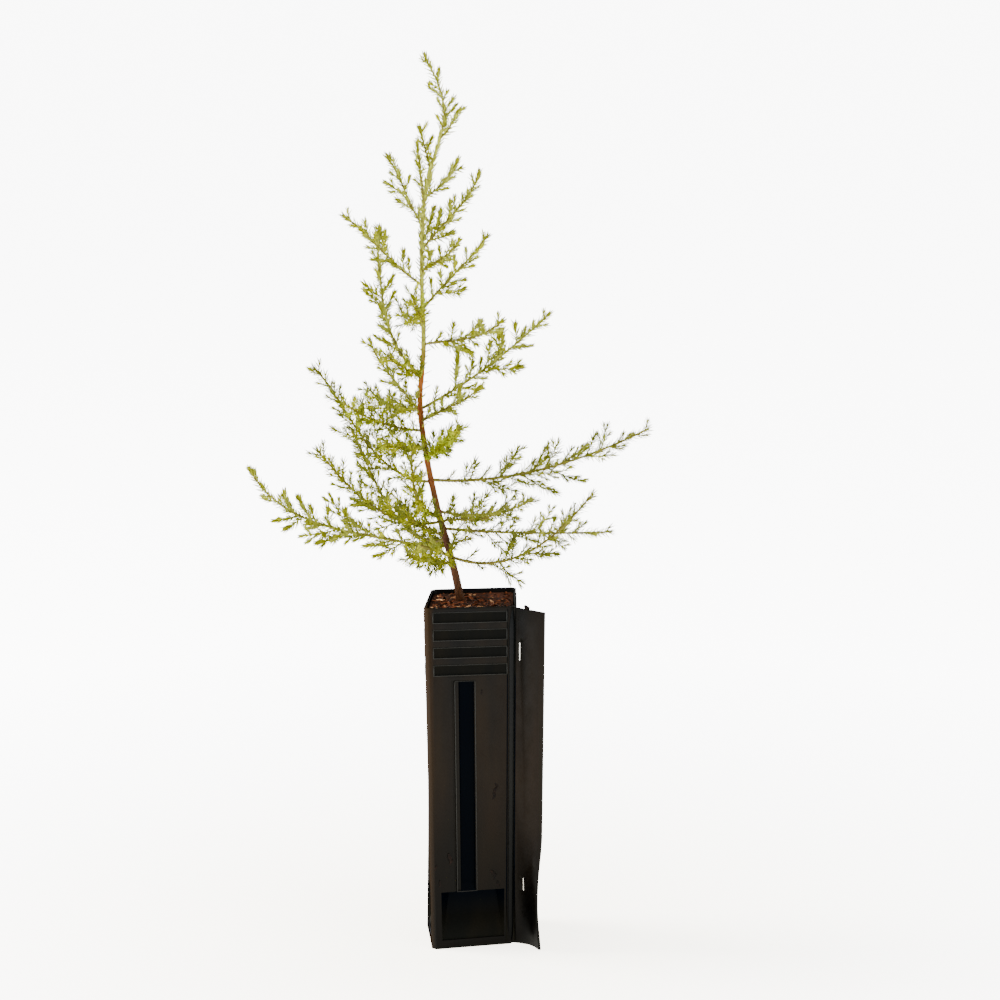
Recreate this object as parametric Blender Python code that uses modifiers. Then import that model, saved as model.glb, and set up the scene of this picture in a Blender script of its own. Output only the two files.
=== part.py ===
"""A young Arizona cypress in a folded forestry pot, modelled in Blender.

Metres, +Z up. The origin is the middle of the pot's flat underside, and the front of the pot,
with its seam on the right, faces -Y.
"""

import math
import random
from collections import namedtuple

import bmesh
import bpy
from mathutils import Vector
from mathutils.kdtree import KDTree

# Clearance that neighbouring solids keep, and how near vertices lie that are one and the same.
GAP = 0.0003
WELD = 0.00001

# The pot: a tall square sleeve folded from a thermoformed sheet, stapled along one corner.
POT_HEIGHT = 0.1965
POT_RIM = 0.0500
POT_FOOT = 0.0475
POT_WALL = 0.0014
POT_CORNER = 0.0025
POT_INNER_CORNER = 0.0020
SIDES = 4
POT_TWIST = math.radians(7)
POT_RACK = math.radians(4.5)
RIM_LEAN = 0.0012
RIM_PINCH = 0.035
TWIST_ROWS = 12
CUTTER_OUTSIDE = 0.003

LABEL_COUNT = 4
LABEL_TOP = 0.1940
LABEL_PITCH = 0.010
LABEL_HEIGHT = 0.006
LABEL_HALF_WIDTH = 0.0199
LABEL_DEPTH = 0.0005

RIB_TOP = 0.1545
RIB_FOOT = 0.0300
RIB_DRAFT = 0.12
RIB_FRAME = (-0.0103, 0.0022)
RIB_FRAME_DEPTH = 0.0006
RIB_SLOT = (-0.0068, 0.0018)
RIB_SLOT_DEPTH = 0.0048

WEDGE_TOP = 0.033
WEDGE_BOTTOM = 0.005
WEDGE_DEPTH = 0.0082
WEDGE_SILL = 0.0009
WEDGE_HALF = 0.0180
WEDGE_DRAFT = 0.60

DRAIN_INNER = 0.007
DRAIN_OUTER = 0.0115
DRAIN_HALF_WIDTH = 0.0035

FLANGE_WIDTH = 0.0226
FLANGE_THICKNESS = 0.0014
FLANGE_ROOT = 0.0011
FLANGE_BOTTOM = 0.0004
FLANGE_TOP = POT_HEIGHT - 0.0006
FLANGE_RIM_HEADING = math.radians(-45)
FLANGE_FOOT_HEADING = math.radians(-50)
FLANGE_ROWS = 24
FLANGE_COLUMNS = 4
FLANGE_LOOSE = 0.062
FLANGE_BOW = 0.0034
FLANGE_PINCH = 0.0032

STAPLE_WIRE = 0.0003
STAPLE_HOLE = 0.0007
STAPLE_CLINCH = 0.32
STAPLE_HOLE_SIDES = 6
Staple = namedtuple("Staple", "middle length reach")
STAPLES = {
    "staple_upper": Staple(0.1715, 0.010, 0.0058),
    "staple_lower": Staple(0.0370, 0.007, 0.0100),
}

# The root ball, filled to just under the rim.
SOIL_TOP = 0.1940
SOIL_GAP = 0.0004
SOIL_CORNER = 0.0023

# The trunk's axis and thickness, by height above the soil.
Trunk = namedtuple("Trunk", "height x y diameter")
TRUNK = (
    Trunk(-0.004, -0.0045, 0.0030, 0.0062),
    Trunk(0.004, -0.0058, 0.0030, 0.0044),
    Trunk(0.025, -0.0104, 0.0022, 0.0036),
    Trunk(0.053, -0.0177, 0.0008, 0.0032),
    Trunk(0.081, -0.0235, -0.0008, 0.0029),
    Trunk(0.112, -0.0273, -0.0012, 0.0026),
    Trunk(0.145, -0.0252, 0.0002, 0.0023),
    Trunk(0.180, -0.0260, 0.0014, 0.0020),
    Trunk(0.212, -0.0256, 0.0012, 0.0017),
    Trunk(0.236, -0.0228, 0.0002, 0.0014),
    Trunk(0.262, -0.0153, -0.0004, 0.0010),
    Trunk(0.275, -0.0135, 0.0002, 0.0008),
    Trunk(0.290, -0.0170, 0.0008, 0.0007),
    Trunk(0.304, -0.0234, 0.0010, 0.0006),
)
TRUNK_TOP = 0.263
TRUNK_STEP = 0.009
TRUNK_SAMPLE = 0.0005
TRUNK_ROUNDNESS = 4
SMOOTH_ANGLE = math.radians(40)

# One row for each bough: where it leaves the trunk, the compass heading it takes (0 is +X and
# 90 is +Y), how far the heading swings, its length, how steeply it rises at its start, middle
# and end, and the share of it that is a bare limb.
Bough = namedtuple("Bough", "height heading swing length rises limb")
BOUGHS = (
    Bough(0.021, 245, 0, 0.064, (19, 14, 21), 0),
    Bough(0.026, -25, 0, 0.102, (-19, 31, 52), 0.17),
    Bough(0.026, 184, 0, 0.127, (25, 15, 66), 0.17),
    Bough(0.031, 110, 0, 0.054, (-4, -14, -36), 0),
    Bough(0.033, -60, 0, 0.026, (6, 21, 6), 0),
    Bough(0.036, 130, 0, 0.105, (-25, 41, 53), 0.17),
    Bough(0.037, 215, 0, 0.034, (30, 28, 36), 0),
    Bough(0.042, 18, 0, 0.102, (-9, -5, -2), 0.17),
    Bough(0.046, -55, 0, 0.055, (19, 9, 33), 0),
    Bough(0.046, 205, 0, 0.093, (-8, 37, 50), 0.17),
    Bough(0.051, 236, 30, 0.066, (-2, 52, 84), 0),
    Bough(0.052, 52, 0, 0.093, (-16, -6, 11), 0.17),
    Bough(0.069, 160, 0, 0.096, (-5, 52, 43), 0.17),
    Bough(0.070, -5, 0, 0.126, (-4, 15, 27), 0.17),
    Bough(0.080, -70, 0, 0.057, (46, 21, 44), 0),
    Bough(0.089, 245, 0, 0.063, (4, 11, 5), 0),
    Bough(0.098, 228, 0, 0.070, (9, 20, 33), 0.20),
    Bough(0.103, -48, 0, 0.053, (31, 24, 39), 0),
    Bough(0.108, 170, 0, 0.049, (54, 51, 70), 0),
    Bough(0.110, 118, 0, 0.060, (-10, 0, 27), 0),
    Bough(0.110, 12, 0, 0.090, (25, 35, 42), 0.17),
    Bough(0.127, 240, 0, 0.043, (30, 22, 35), 0),
    Bough(0.129, 140, 0, 0.088, (21, 75, 82), 0.17),
    Bough(0.146, -42, 0, 0.060, (14, 13, 41), 0.20),
    Bough(0.155, 115, 0, 0.031, (31, 1, 55), 0),
    Bough(0.158, 255, 0, 0.029, (31, 38, 48), 0),
    Bough(0.165, 25, 0, 0.056, (50, 41, 51), 0.20),
    Bough(0.179, 195, 0, 0.059, (32, 46, 34), 0.20),
    Bough(0.186, -60, 0, 0.044, (31, 23, 48), 0),
    Bough(0.198, -12, 0, 0.054, (55, 48, 73), 0.20),
    Bough(0.202, 70, 0, 0.027, (15, 46, 32), 0),
    Bough(0.212, 160, 0, 0.042, (52, 66, 51), 0),
    Bough(0.225, 230, 0, 0.032, (71, 82, 76), 0),
    Bough(0.227, 40, 0, 0.031, (23, 36, 60), 0),
    Bough(0.243, 140, 0, 0.023, (72, 70, 73), 0),
    Bough(0.260, -20, 0, 0.019, (28, 61, 50), 0),
)
LIMB_BASE = 0.0004
LIMB_PER_LENGTH = 0.0022
LIMB_STEP = 0.005
LIMB_ROUNDNESS = 1
LIMB_TAPER = 0.55
LIMB_TAPER_SHARE = 0.4
CLEARING_STEP = 0.00005

# The foliage: three-sided twigs whose faces are drawn out into needles, three to a whorl.
STEM_RADIUS = 0.00058
STEM_TIP_RADIUS = 0.00034
SHOOT_RADIUS = 0.00046
SHOOT_ROOT_RADIUS = 0.00020
TWIG_SIDES = 3
TWIG_SWELL = 0.15
NEARLY_UPRIGHT = 0.05
WHORL_PITCH = 0.0085
WHORL_LENGTH = 0.0011
WHORL_FIRST = 0.0012
NEEDLE_LENGTH = 0.0066
NEEDLE_SPLAY = math.radians(42)
NEEDLE_SWING = math.radians(24)
NEEDLE_SHARES = (1.0, 0.7, 0.45)
BUD_LENGTH = 0.0026

# The side shoots that the seeded rule sets along each stem.
SHOOT_PITCH = 0.0075
SHOOT_FIRST = 0.10
SHOOT_LAST = 0.90
SHOOT_BASE = 0.0045
SHOOT_PER_LENGTH = 0.16
SHOOT_SHORTEST = 0.0068
SHOOT_LENGTHS = (0.62, 1.1)
SHOOT_FADE_FROM = 0.5
SHOOT_FADE_TO = 0.95
SHOOT_TIP_SHARE = 0.25
SHOOT_CLEAR = 0.0022
SHOOT_BARE = 0.25
SHOOT_BUD = 0.0018
SHOOT_SCALE = 0.9
SHOOT_ROLL = 0.5
SHOOT_SPLAY = math.radians(46)
SHOOT_LIFT = 0.22
GOLDEN_ANGLE = math.radians(137.5)
SEEDS_PER_BOUGH = 1000
LEADER_SEED = 99

# Every mass keeps this much nearer to its own bough than to any other.
SPACE_MARGIN = 0.0012
AXIS_STEP = 0.0015
LEAST_STEPS = 8
SOIL_CLEARANCE = 0.0025
RIM_CLEARANCE = 0.0015

COLORS = {
    "pot_plastic": ((0.012, 0.012, 0.013), 0.34, 0.0),
    "peat": ((0.030, 0.017, 0.010), 0.95, 0.0),
    "staple_steel": ((0.62, 0.60, 0.57), 0.35, 1.0),
    "bark": ((0.300, 0.125, 0.048), 0.80, 0.0),
    "young_bark": ((0.260, 0.190, 0.060), 0.75, 0.0),
    "needles": ((0.130, 0.180, 0.030), 0.60, 0.0),
}


# --- Scene, materials and small helpers ----------------------------------------------------

def clear_scene():
    for thing in list(bpy.data.objects):
        bpy.data.objects.remove(thing, do_unlink=True)


def new_collection(name):
    collection = bpy.data.collections.new(name)
    bpy.context.scene.collection.children.link(collection)
    return collection


def make_material(name):
    color, roughness, metallic = COLORS[name]
    material = bpy.data.materials.new(name)
    material.use_nodes = True
    shader = material.node_tree.nodes["Principled BSDF"]
    shader.inputs["Base Color"].default_value = (*color, 1.0)
    shader.inputs["Roughness"].default_value = roughness
    shader.inputs["Metallic"].default_value = metallic
    return material


def add_object(name, data, collection, material=None):
    thing = bpy.data.objects.new(name, data)
    collection.objects.link(thing)
    if material is not None:
        data.materials.append(material)
    return thing


def mesh_from(bm, name):
    bm.normal_update()
    bmesh.ops.recalc_face_normals(bm, faces=bm.faces)
    mesh = bpy.data.meshes.new(name)
    bm.to_mesh(mesh)
    bm.free()
    return mesh


def add_boolean(target, operation, collection):
    modifier = target.modifiers.new(operation.lower(), "BOOLEAN")
    modifier.operation = operation
    modifier.operand_type = "COLLECTION"
    modifier.collection = collection
    modifier.solver = "EXACT"


def apply_modifiers(thing):
    depsgraph = bpy.context.evaluated_depsgraph_get()
    mesh = bpy.data.meshes.new_from_object(thing.evaluated_get(depsgraph))
    thing.modifiers.clear()
    thing.data = mesh


def empty_collection(collection):
    for thing in list(collection.objects):
        bpy.data.objects.remove(thing, do_unlink=True)
    bpy.data.collections.remove(collection)


def blend(low, high, share):
    return low + (high - low) * share


def poly_curve(name, points, radii, thickness, resolution):
    """A round tube along a path, with its radius given point by point."""
    curve = bpy.data.curves.new(name, "CURVE")
    curve.dimensions = "3D"
    curve.bevel_depth = thickness
    curve.bevel_resolution = resolution
    curve.use_fill_caps = True
    spline = curve.splines.new("POLY")
    spline.points.add(len(points) - 1)
    for control, point, radius in zip(spline.points, points, radii):
        control.co = (*point, 1.0)
        control.radius = radius / thickness
    return curve


# --- The pot and what fills it -------------------------------------------------------------

def pot_half(height, inset=0.0):
    """Half the pot's outer width at a height, less an inset."""
    return blend(POT_FOOT, POT_RIM, height / POT_HEIGHT) / 2 - inset


def settle(point):
    """Rack, twist and lean the straight sleeve, its rim narrower behind, as a folded one is."""
    lean = math.tan(POT_RACK)
    share = point[2] / POT_HEIGHT
    pinch = 1 - RIM_PINCH * share * point[1] / (POT_RIM / 2)
    x, y = point[0] * pinch + lean * point[1], point[1] + lean * point[0]
    turn = POT_TWIST * (1 - share)
    cos, sin = math.cos(turn), math.sin(turn)
    return Vector((cos * x - sin * y + RIM_LEAN * share, sin * x + cos * y, point[2]))


def settle_mesh(thing):
    """Cut a solid into level rows, so that it can twist, and settle it."""
    bm = bmesh.new()
    bm.from_mesh(thing.data)
    for row in range(1, TWIST_ROWS):
        everything = bm.verts[:] + bm.edges[:] + bm.faces[:]
        level = (0, 0, POT_HEIGHT * row / TWIST_ROWS)
        bmesh.ops.bisect_plane(bm, geom=everything, plane_co=level, plane_no=(0, 0, 1))
    bmesh.ops.remove_doubles(bm, verts=bm.verts, dist=WELD)
    for vert in bm.verts:
        vert.co = settle(vert.co)
    bmesh.ops.triangulate(bm, faces=bm.faces)
    bm.to_mesh(thing.data)
    bm.free()


def sleeve_block(name, bottom, top, inset, corner, collection):
    """A four-sided block that tapers with the pot, set in from its outer faces."""
    bm = bmesh.new()
    bmesh.ops.create_cube(bm, size=1)
    for vert in bm.verts:
        height = top if vert.co.z > 0 else bottom
        half = pot_half(height, inset)
        vert.co = (math.copysign(half, vert.co.x), math.copysign(half, vert.co.y), height)
    upright = [edge for edge in bm.edges if abs(edge.verts[0].co.z - edge.verts[1].co.z) > 0.001]
    bmesh.ops.bevel(bm, geom=upright, offset=corner, segments=1, affect="EDGES")
    return add_object(name, mesh_from(bm, name), collection)


def face_block(name, side, heights, edges, depths, draft, collection):
    """A block sunk into one side of the pot. Side 0 is the front.

    heights are its foot and top, edges its left and right edges on the pot's surface, depths
    how deep it reaches at its foot and top, and draft how fast it narrows with depth.
    """
    angle = side * math.pi / 2
    along_side = Vector((math.cos(angle), math.sin(angle), 0))
    outward = Vector((math.sin(angle), -math.cos(angle), 0))
    bm = bmesh.new()
    bmesh.ops.create_cube(bm, size=1)
    for vert in bm.verts:
        upper = vert.co.z > 0
        height = heights[1] if upper else heights[0]
        depth = depths[1] if upper else depths[0]
        if vert.co.y < 0:
            depth = -CUTTER_OUTSIDE
        across = edges[1] - draft * depth if vert.co.x > 0 else edges[0] + draft * depth
        away = pot_half(height) - depth
        vert.co = along_side * across + outward * away + Vector((0, 0, height))
    return add_object(name, mesh_from(bm, name), collection)


def add_rib(side, grow, collection):
    """The rib pressed into a side; grow makes the larger block that the wall stands round."""
    depth = RIB_SLOT_DEPTH + grow
    face_block(f"rib_{side}", side, (RIB_FOOT, RIB_TOP + grow),
               (RIB_SLOT[0] - grow, RIB_SLOT[1] + grow), (depth, depth), RIB_DRAFT, collection)


def add_rib_frame(side, collection):
    face_block(f"rib_frame_{side}", side, (RIB_FOOT, RIB_TOP + RIB_FRAME_DEPTH), RIB_FRAME,
               (RIB_FRAME_DEPTH, RIB_FRAME_DEPTH), 0, collection)


def add_wedge(side, grow, collection):
    """The wedge pressed into the foot of a side, deepest at its top."""
    face_block(f"wedge_{side}", side, (WEDGE_BOTTOM - grow, WEDGE_TOP + grow),
               (-WEDGE_HALF - grow, WEDGE_HALF + grow), (WEDGE_SILL + grow, WEDGE_DEPTH + grow),
               WEDGE_DRAFT, collection)


def add_labels(side, collection):
    """The row of bare, sunken label fields under the rim."""
    for row in range(LABEL_COUNT):
        top = LABEL_TOP - row * LABEL_PITCH
        face_block(f"label_{side}_{row}", side, (top - LABEL_HEIGHT, top),
                   (-LABEL_HALF_WIDTH, LABEL_HALF_WIDTH), (LABEL_DEPTH, LABEL_DEPTH), 0,
                   collection)


def add_drain(side, collection):
    """A slot through the floor, between the middle and one side."""
    bm = bmesh.new()
    bmesh.ops.create_cube(bm, size=1)
    angle = side * math.pi / 2
    along = Vector((math.cos(angle), math.sin(angle), 0))
    outward = Vector((math.sin(angle), -math.cos(angle), 0))
    for vert in bm.verts:
        away = DRAIN_OUTER if vert.co.y < 0 else DRAIN_INNER
        across = math.copysign(DRAIN_HALF_WIDTH, vert.co.x)
        height = math.copysign(CUTTER_OUTSIDE, vert.co.z)
        vert.co = along * across + outward * away + Vector((0, 0, height))
    add_object(f"drain_{side}", mesh_from(bm, f"drain_{side}"), collection)


def flange_heading(height):
    return blend(FLANGE_FOOT_HEADING, FLANGE_RIM_HEADING, height / POT_HEIGHT)


def flange_wave(reach, height):
    """How far the loose foot of the flange waves off its plane: bowed back, its edge pinched."""
    if height > FLANGE_LOOSE or reach < 0:
        return 0.0
    out, down = reach / FLANGE_WIDTH, 1 - height / FLANGE_LOOSE
    bow = FLANGE_BOW * math.sin(math.pi * out) * down * down
    return bow - FLANGE_PINCH * out * out * math.sin(math.pi * down)


def seam_point(reach, height, offset=0.0):
    """A point on the seam flange: how far it is past the corner, and off the sheet's middle."""
    heading = flange_heading(height)
    outward = Vector((math.cos(heading), math.sin(heading), 0))
    normal = Vector((-outward.y, outward.x, 0))
    middle = pot_half(height) - POT_CORNER / 2
    offset += flange_wave(reach, height)
    return Vector((middle, -middle, height)) + outward * reach + normal * offset


def add_flange(collection, staple_holes):
    """The sheet's two edges, lapped and stapled into one fin down the corner."""
    bm = bmesh.new()
    bmesh.ops.create_grid(bm, x_segments=FLANGE_COLUMNS, y_segments=FLANGE_ROWS, size=0.5)
    for vert in bm.verts:
        reach = blend(-FLANGE_ROOT, FLANGE_WIDTH, vert.co.x + 0.5)
        height = blend(FLANGE_BOTTOM, FLANGE_TOP, vert.co.y + 0.5)
        vert.co = seam_point(reach, height)
    flange = add_object("flange", mesh_from(bm, "flange"), collection)
    solidify = flange.modifiers.new("double_sheet", "SOLIDIFY")
    solidify.thickness = FLANGE_THICKNESS
    solidify.offset = 0
    apply_modifiers(flange)
    for vert in flange.data.vertices:
        vert.co.z = min(max(vert.co.z, FLANGE_BOTTOM), FLANGE_TOP)
    add_boolean(flange, "DIFFERENCE", staple_holes)
    apply_modifiers(flange)


def add_staple_holes(collection):
    for name, staple in STAPLES.items():
        for end in (-1, 1):
            height = staple.middle + end * staple.length / 2
            bm = bmesh.new()
            bmesh.ops.create_cone(bm, cap_ends=True, segments=STAPLE_HOLE_SIDES,
                                  radius1=STAPLE_HOLE, radius2=STAPLE_HOLE,
                                  depth=2 * CUTTER_OUTSIDE)
            hole = add_object(f"{name}_hole_{end}", mesh_from(bm, name), collection)
            hole.rotation_euler = (math.pi / 2, 0, flange_heading(height))
            hole.location = seam_point(staple.reach, height)


def make_pot(collection, material):
    """The walled sleeve with its pressings, drains and stapled seam, as one solid."""
    pot = sleeve_block("pot", 0, POT_HEIGHT, 0, POT_CORNER, collection)
    pot.data.materials.append(material)

    core_cuts = new_collection("core_cuts")
    hollow = new_collection("hollow")
    seam = new_collection("seam")
    pressings = new_collection("pressings")
    drains = new_collection("drains")
    staple_holes = new_collection("staple_holes")
    core = sleeve_block("core", POT_WALL, POT_HEIGHT + CUTTER_OUTSIDE, POT_WALL,
                        POT_INNER_CORNER, hollow)
    for side in range(SIDES):
        add_rib(side, POT_WALL, core_cuts)
        add_wedge(side, POT_WALL, core_cuts)
        add_rib(side, 0, pressings)
        add_rib_frame(side, pressings)
        add_wedge(side, 0, pressings)
        add_labels(side, pressings)
        add_drain(side, drains)
    add_boolean(core, "DIFFERENCE", core_cuts)
    apply_modifiers(core)
    add_staple_holes(staple_holes)
    add_flange(seam, staple_holes)

    add_boolean(pot, "DIFFERENCE", hollow)
    add_boolean(pot, "DIFFERENCE", drains)
    add_boolean(pot, "DIFFERENCE", pressings)
    add_boolean(pot, "UNION", seam)
    apply_modifiers(pot)
    settle_mesh(pot)
    for used in (core_cuts, hollow, drains, pressings, staple_holes, seam):
        empty_collection(used)


def make_substrate(collection, material):
    """The peat that fills the pot, clear of the wall and of everything pressed into it."""
    inset = POT_WALL + SOIL_GAP
    soil = sleeve_block("substrate", inset, SOIL_TOP, inset, SOIL_CORNER, collection)
    soil.data.materials.append(material)
    dents = new_collection("dents")
    for side in range(SIDES):
        add_rib(side, inset, dents)
        add_wedge(side, inset, dents)
    add_boolean(soil, "DIFFERENCE", dents)
    apply_modifiers(soil)
    settle_mesh(soil)
    empty_collection(dents)
    return soil


def make_staples(collection, material):
    """Wire staples through the flange, clinched behind it."""
    off = FLANGE_THICKNESS / 2 + GAP + STAPLE_WIRE
    for name, staple in STAPLES.items():
        low, high = staple.middle - staple.length / 2, staple.middle + staple.length / 2
        turned_in = staple.length * STAPLE_CLINCH
        route = (
            (low + turned_in, off), (low, off), (low, -off),
            (high, -off), (high, off), (high - turned_in, off),
        )
        points = [settle(seam_point(staple.reach, height, offset)) for height, offset in route]
        curve = poly_curve(name, points, [STAPLE_WIRE] * len(points), STAPLE_WIRE,
                           LIMB_ROUNDNESS)
        add_object(name, curve, collection, material)


# --- The trunk and the boughs --------------------------------------------------------------

def trunk_at(height):
    """The trunk's axis point and radius at a height above the soil, on a smooth curve."""
    rows = TRUNK
    index = 0
    while index < len(rows) - 2 and rows[index + 1].height < height:
        index += 1
    before, low, high, after = (rows[max(0, min(len(rows) - 1, index + step))]
                                for step in (-1, 0, 1, 2))
    share = (height - low.height) / (high.height - low.height)

    def smooth(field):
        a, b, c, d = (getattr(row, field) for row in (before, low, high, after))
        return b + 0.5 * share * (c - a + share * (2 * a - 5 * b + 4 * c - d
                                                   + share * (3 * (b - c) + d - a)))

    centre = Vector((smooth("x"), smooth("y"), SOIL_TOP + height))
    return centre, blend(low.diameter, high.diameter, share) / 2


def make_trunk(collection, material):
    steps = round((TRUNK_TOP - TRUNK[0].height) / TRUNK_STEP)
    heights = [blend(TRUNK[0].height, TRUNK_TOP, step / steps) for step in range(steps + 1)]
    places = [trunk_at(height) for height in heights]
    curve = poly_curve("trunk_curve", [centre for centre, _ in places],
                       [radius for _, radius in places], TRUNK[0].diameter, TRUNK_ROUNDNESS)
    tube = add_object("trunk_curve", curve, collection)
    depsgraph = bpy.context.evaluated_depsgraph_get()
    mesh = bpy.data.meshes.new_from_object(tube.evaluated_get(depsgraph))
    bpy.data.objects.remove(tube, do_unlink=True)

    bm = bmesh.new()
    bm.from_mesh(mesh)
    bmesh.ops.remove_doubles(bm, verts=bm.verts, dist=WELD)
    everything = bm.verts[:] + bm.edges[:] + bm.faces[:]
    ground = (0, 0, SOIL_TOP + GAP)
    cut = bmesh.ops.bisect_plane(bm, geom=everything, plane_co=ground, plane_no=(0, 0, 1),
                                 clear_inner=True)
    rim = [item for item in cut["geom_cut"] if isinstance(item, bmesh.types.BMEdge)]
    bmesh.ops.edgeloop_fill(bm, edges=rim)
    trunk = add_object("trunk", mesh_from(bm, "trunk"), collection, material)
    trunk.data.shade_smooth()
    trunk.data.set_sharp_from_angle(angle=SMOOTH_ANGLE)
    return trunk


def rise_at(bough, share):
    """How steeply a bough climbs, in degrees, through its start, middle and end values."""
    start, middle, end = bough.rises
    return (start * (1 - share) * (1 - 2 * share) + middle * 4 * share * (1 - share)
            + end * share * (2 * share - 1))


def bough_axis(bough):
    """The points of a bough's axis from the middle of the trunk to its tip."""
    count = max(LEAST_STEPS, round(bough.length / AXIS_STEP))
    point = trunk_at(bough.height)[0]
    points = [point]
    for step in range(count):
        share = (step + 0.5) / count
        rise = math.radians(rise_at(bough, share))
        heading = math.radians(bough.heading + bough.swing * share)
        direction = Vector((math.cos(rise) * math.cos(heading),
                            math.cos(rise) * math.sin(heading), math.sin(rise)))
        point = point + direction * (bough.length / count)
        points.append(point)
    return points


def leader_axis():
    """The axis of the shoot that goes on from the trunk's top to the tip."""
    last = TRUNK[-1].height
    count = round((last - TRUNK_TOP) / AXIS_STEP)
    return [trunk_at(blend(TRUNK_TOP, last, step / count))[0] for step in range(count + 1)]


def along(points, distance):
    """The point and direction at a distance along a path."""
    for start, end in zip(points, points[1:]):
        step = (end - start).length
        if distance <= step:
            return start + (end - start) * (distance / step), (end - start).normalized()
        distance -= step
    return points[-1].copy(), (points[-1] - points[-2]).normalized()


def path_length(points):
    return sum((end - start).length for start, end in zip(points, points[1:]))


def clear_of_trunk(points, radius):
    """How far along a bough a ring of that radius first stands clear of the trunk."""
    samples = [trunk_at(step * TRUNK_SAMPLE) for step in range(int(TRUNK_TOP / TRUNK_SAMPLE) + 1)]
    distance = 0.0
    while distance < path_length(points):
        distance += CLEARING_STEP
        centre, direction = along(points, distance)
        axis, trunk_radius = min(samples, key=lambda sample: (sample[0] - centre).length)
        away = centre - axis
        if away.length < trunk_radius:
            continue
        facing = direction.dot(away.normalized())
        reach = radius * math.sqrt(max(0.0, 1 - facing * facing))
        if away.length - trunk_radius - reach >= GAP:
            return distance
    raise ValueError("a bough never leaves the trunk")


def limb_radius(bough, share):
    taper = blend(1.0, LIMB_TAPER, share / LIMB_TAPER_SHARE)
    return (LIMB_BASE + LIMB_PER_LENGTH * bough.length) * taper


def make_limb(name, bough, points, start, collection, material):
    """A bare tapering limb. Returns how far along the bough it ends."""
    end = bough.limb * bough.length
    steps = max(2, round((end - start) / LIMB_STEP))
    distances = [blend(start, end, step / steps) for step in range(steps + 1)]
    radii = [limb_radius(bough, distance / bough.length) for distance in distances]
    route = [along(points, distance)[0] for distance in distances]
    curve = poly_curve(name, route, radii, radii[0], LIMB_ROUNDNESS)
    add_object(name, curve, collection, material)
    return end


# --- The space of each mass ----------------------------------------------------------------

class Spaces:
    """Tells which bough a point is nearest to, so that every mass keeps to its own space."""

    def __init__(self, axes):
        self.owners = []
        self.radii = []
        places = []
        for step in range(int(TRUNK_TOP / AXIS_STEP) + 1):
            centre, radius = trunk_at(step * AXIS_STEP)
            places.append(centre)
            self.owners.append("trunk")
            self.radii.append(radius)
        for owner, points in axes.items():
            places.extend(points)
            self.owners.extend([owner] * len(points))
            self.radii.extend([STEM_RADIUS] * len(points))
        self.tree = KDTree(len(places))
        for index, place in enumerate(places):
            self.tree.insert(place, index)
        self.tree.balance()

    def allows(self, owner, point):
        half = pot_half(POT_HEIGHT, POT_WALL + RIM_CLEARANCE)
        inside = max(abs(point.x), abs(point.y)) < half
        floor = SOIL_TOP + SOIL_CLEARANCE if inside else POT_HEIGHT + RIM_CLEARANCE
        if point.z < floor:
            return False
        own = self.tree.find(point, filter=lambda index: self.owners[index] == owner)[2]
        _, other, distance = self.tree.find(point,
                                            filter=lambda index: self.owners[index] != owner)
        return own + SPACE_MARGIN < distance - self.radii[other]


# --- Twigs, needles and masses -------------------------------------------------------------

def ring_frame(direction, side):
    """Carry a side vector on to a new direction, turned as little as it can be."""
    side = (side - direction * side.dot(direction)).normalized()
    return side, direction.cross(side)


def place_ring(verts, centre, side, over, radius):
    for index, vert in enumerate(verts):
        angle = index * math.tau / TWIG_SIDES
        vert.co = centre + (side * math.cos(angle) + over * math.sin(angle)) * radius


def draw_out_needles(bm, faces, centre, direction, turn, length, allowed):
    """Poke faces out into needles that lean forward; one that has no room is shortened."""
    poked = bmesh.ops.poke(bm, faces=faces)
    for vert in poked["verts"]:
        outward = vert.co - centre
        outward = (outward - direction * outward.dot(direction)).normalized()
        swung = (outward * math.cos(turn) + direction.cross(outward) * math.sin(turn))
        lean = direction * math.cos(NEEDLE_SPLAY) + swung * math.sin(NEEDLE_SPLAY)
        root = vert.co.copy()
        for share in NEEDLE_SHARES:
            tip = root + lean * (length * share)
            if allowed(tip):
                vert.co = tip
                break


def needled_twig(name, points, radii, whorls, needle_length, allowed):
    """A three-sided twig, extruded ring by ring, with needles drawn out at its whorls."""
    total = path_length(points)
    stations = [(0.0, 0)]
    for number, middle in enumerate(whorls):
        swing = NEEDLE_SWING if number % 2 == 0 else -NEEDLE_SWING
        stations += [(middle - WHORL_LENGTH / 2, 0), (middle + WHORL_LENGTH / 2, swing)]
    stations.append((total - BUD_LENGTH, 0))

    bm = bmesh.new()
    bmesh.ops.create_circle(bm, cap_ends=True, segments=TWIG_SIDES, radius=1)
    bm.faces.ensure_lookup_table()
    cap = bm.faces[0]
    direction = along(points, 0.0)[1]
    side = direction.cross(Vector((0, 0, 1)))
    if side.length < NEARLY_UPRIGHT:
        side = Vector((1, 0, 0))
    for number, (distance, swing) in enumerate(stations):
        centre, direction = along(points, distance)
        side, over = ring_frame(direction, side)
        radius = blend(radii[0], radii[1], min(1.0, distance / total / TWIG_SWELL))
        radius = blend(radius, radii[2], distance / total)
        if number > 0:
            cap = bmesh.ops.extrude_discrete_faces(bm, faces=[cap])["faces"][0]
        place_ring(cap.verts, centre, side, over, radius)
        if swing:
            sides = [face for edge in cap.edges for face in edge.link_faces if face is not cap]
            middle = centre - direction * (WHORL_LENGTH / 2)
            draw_out_needles(bm, sides, middle, direction, swing, needle_length, allowed)
    bud = bmesh.ops.poke(bm, faces=[cap])["verts"][0]
    bud.co = points[-1]
    bmesh.ops.holes_fill(bm, edges=[edge for edge in bm.edges if edge.is_boundary])
    return mesh_from(bm, name)


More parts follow.
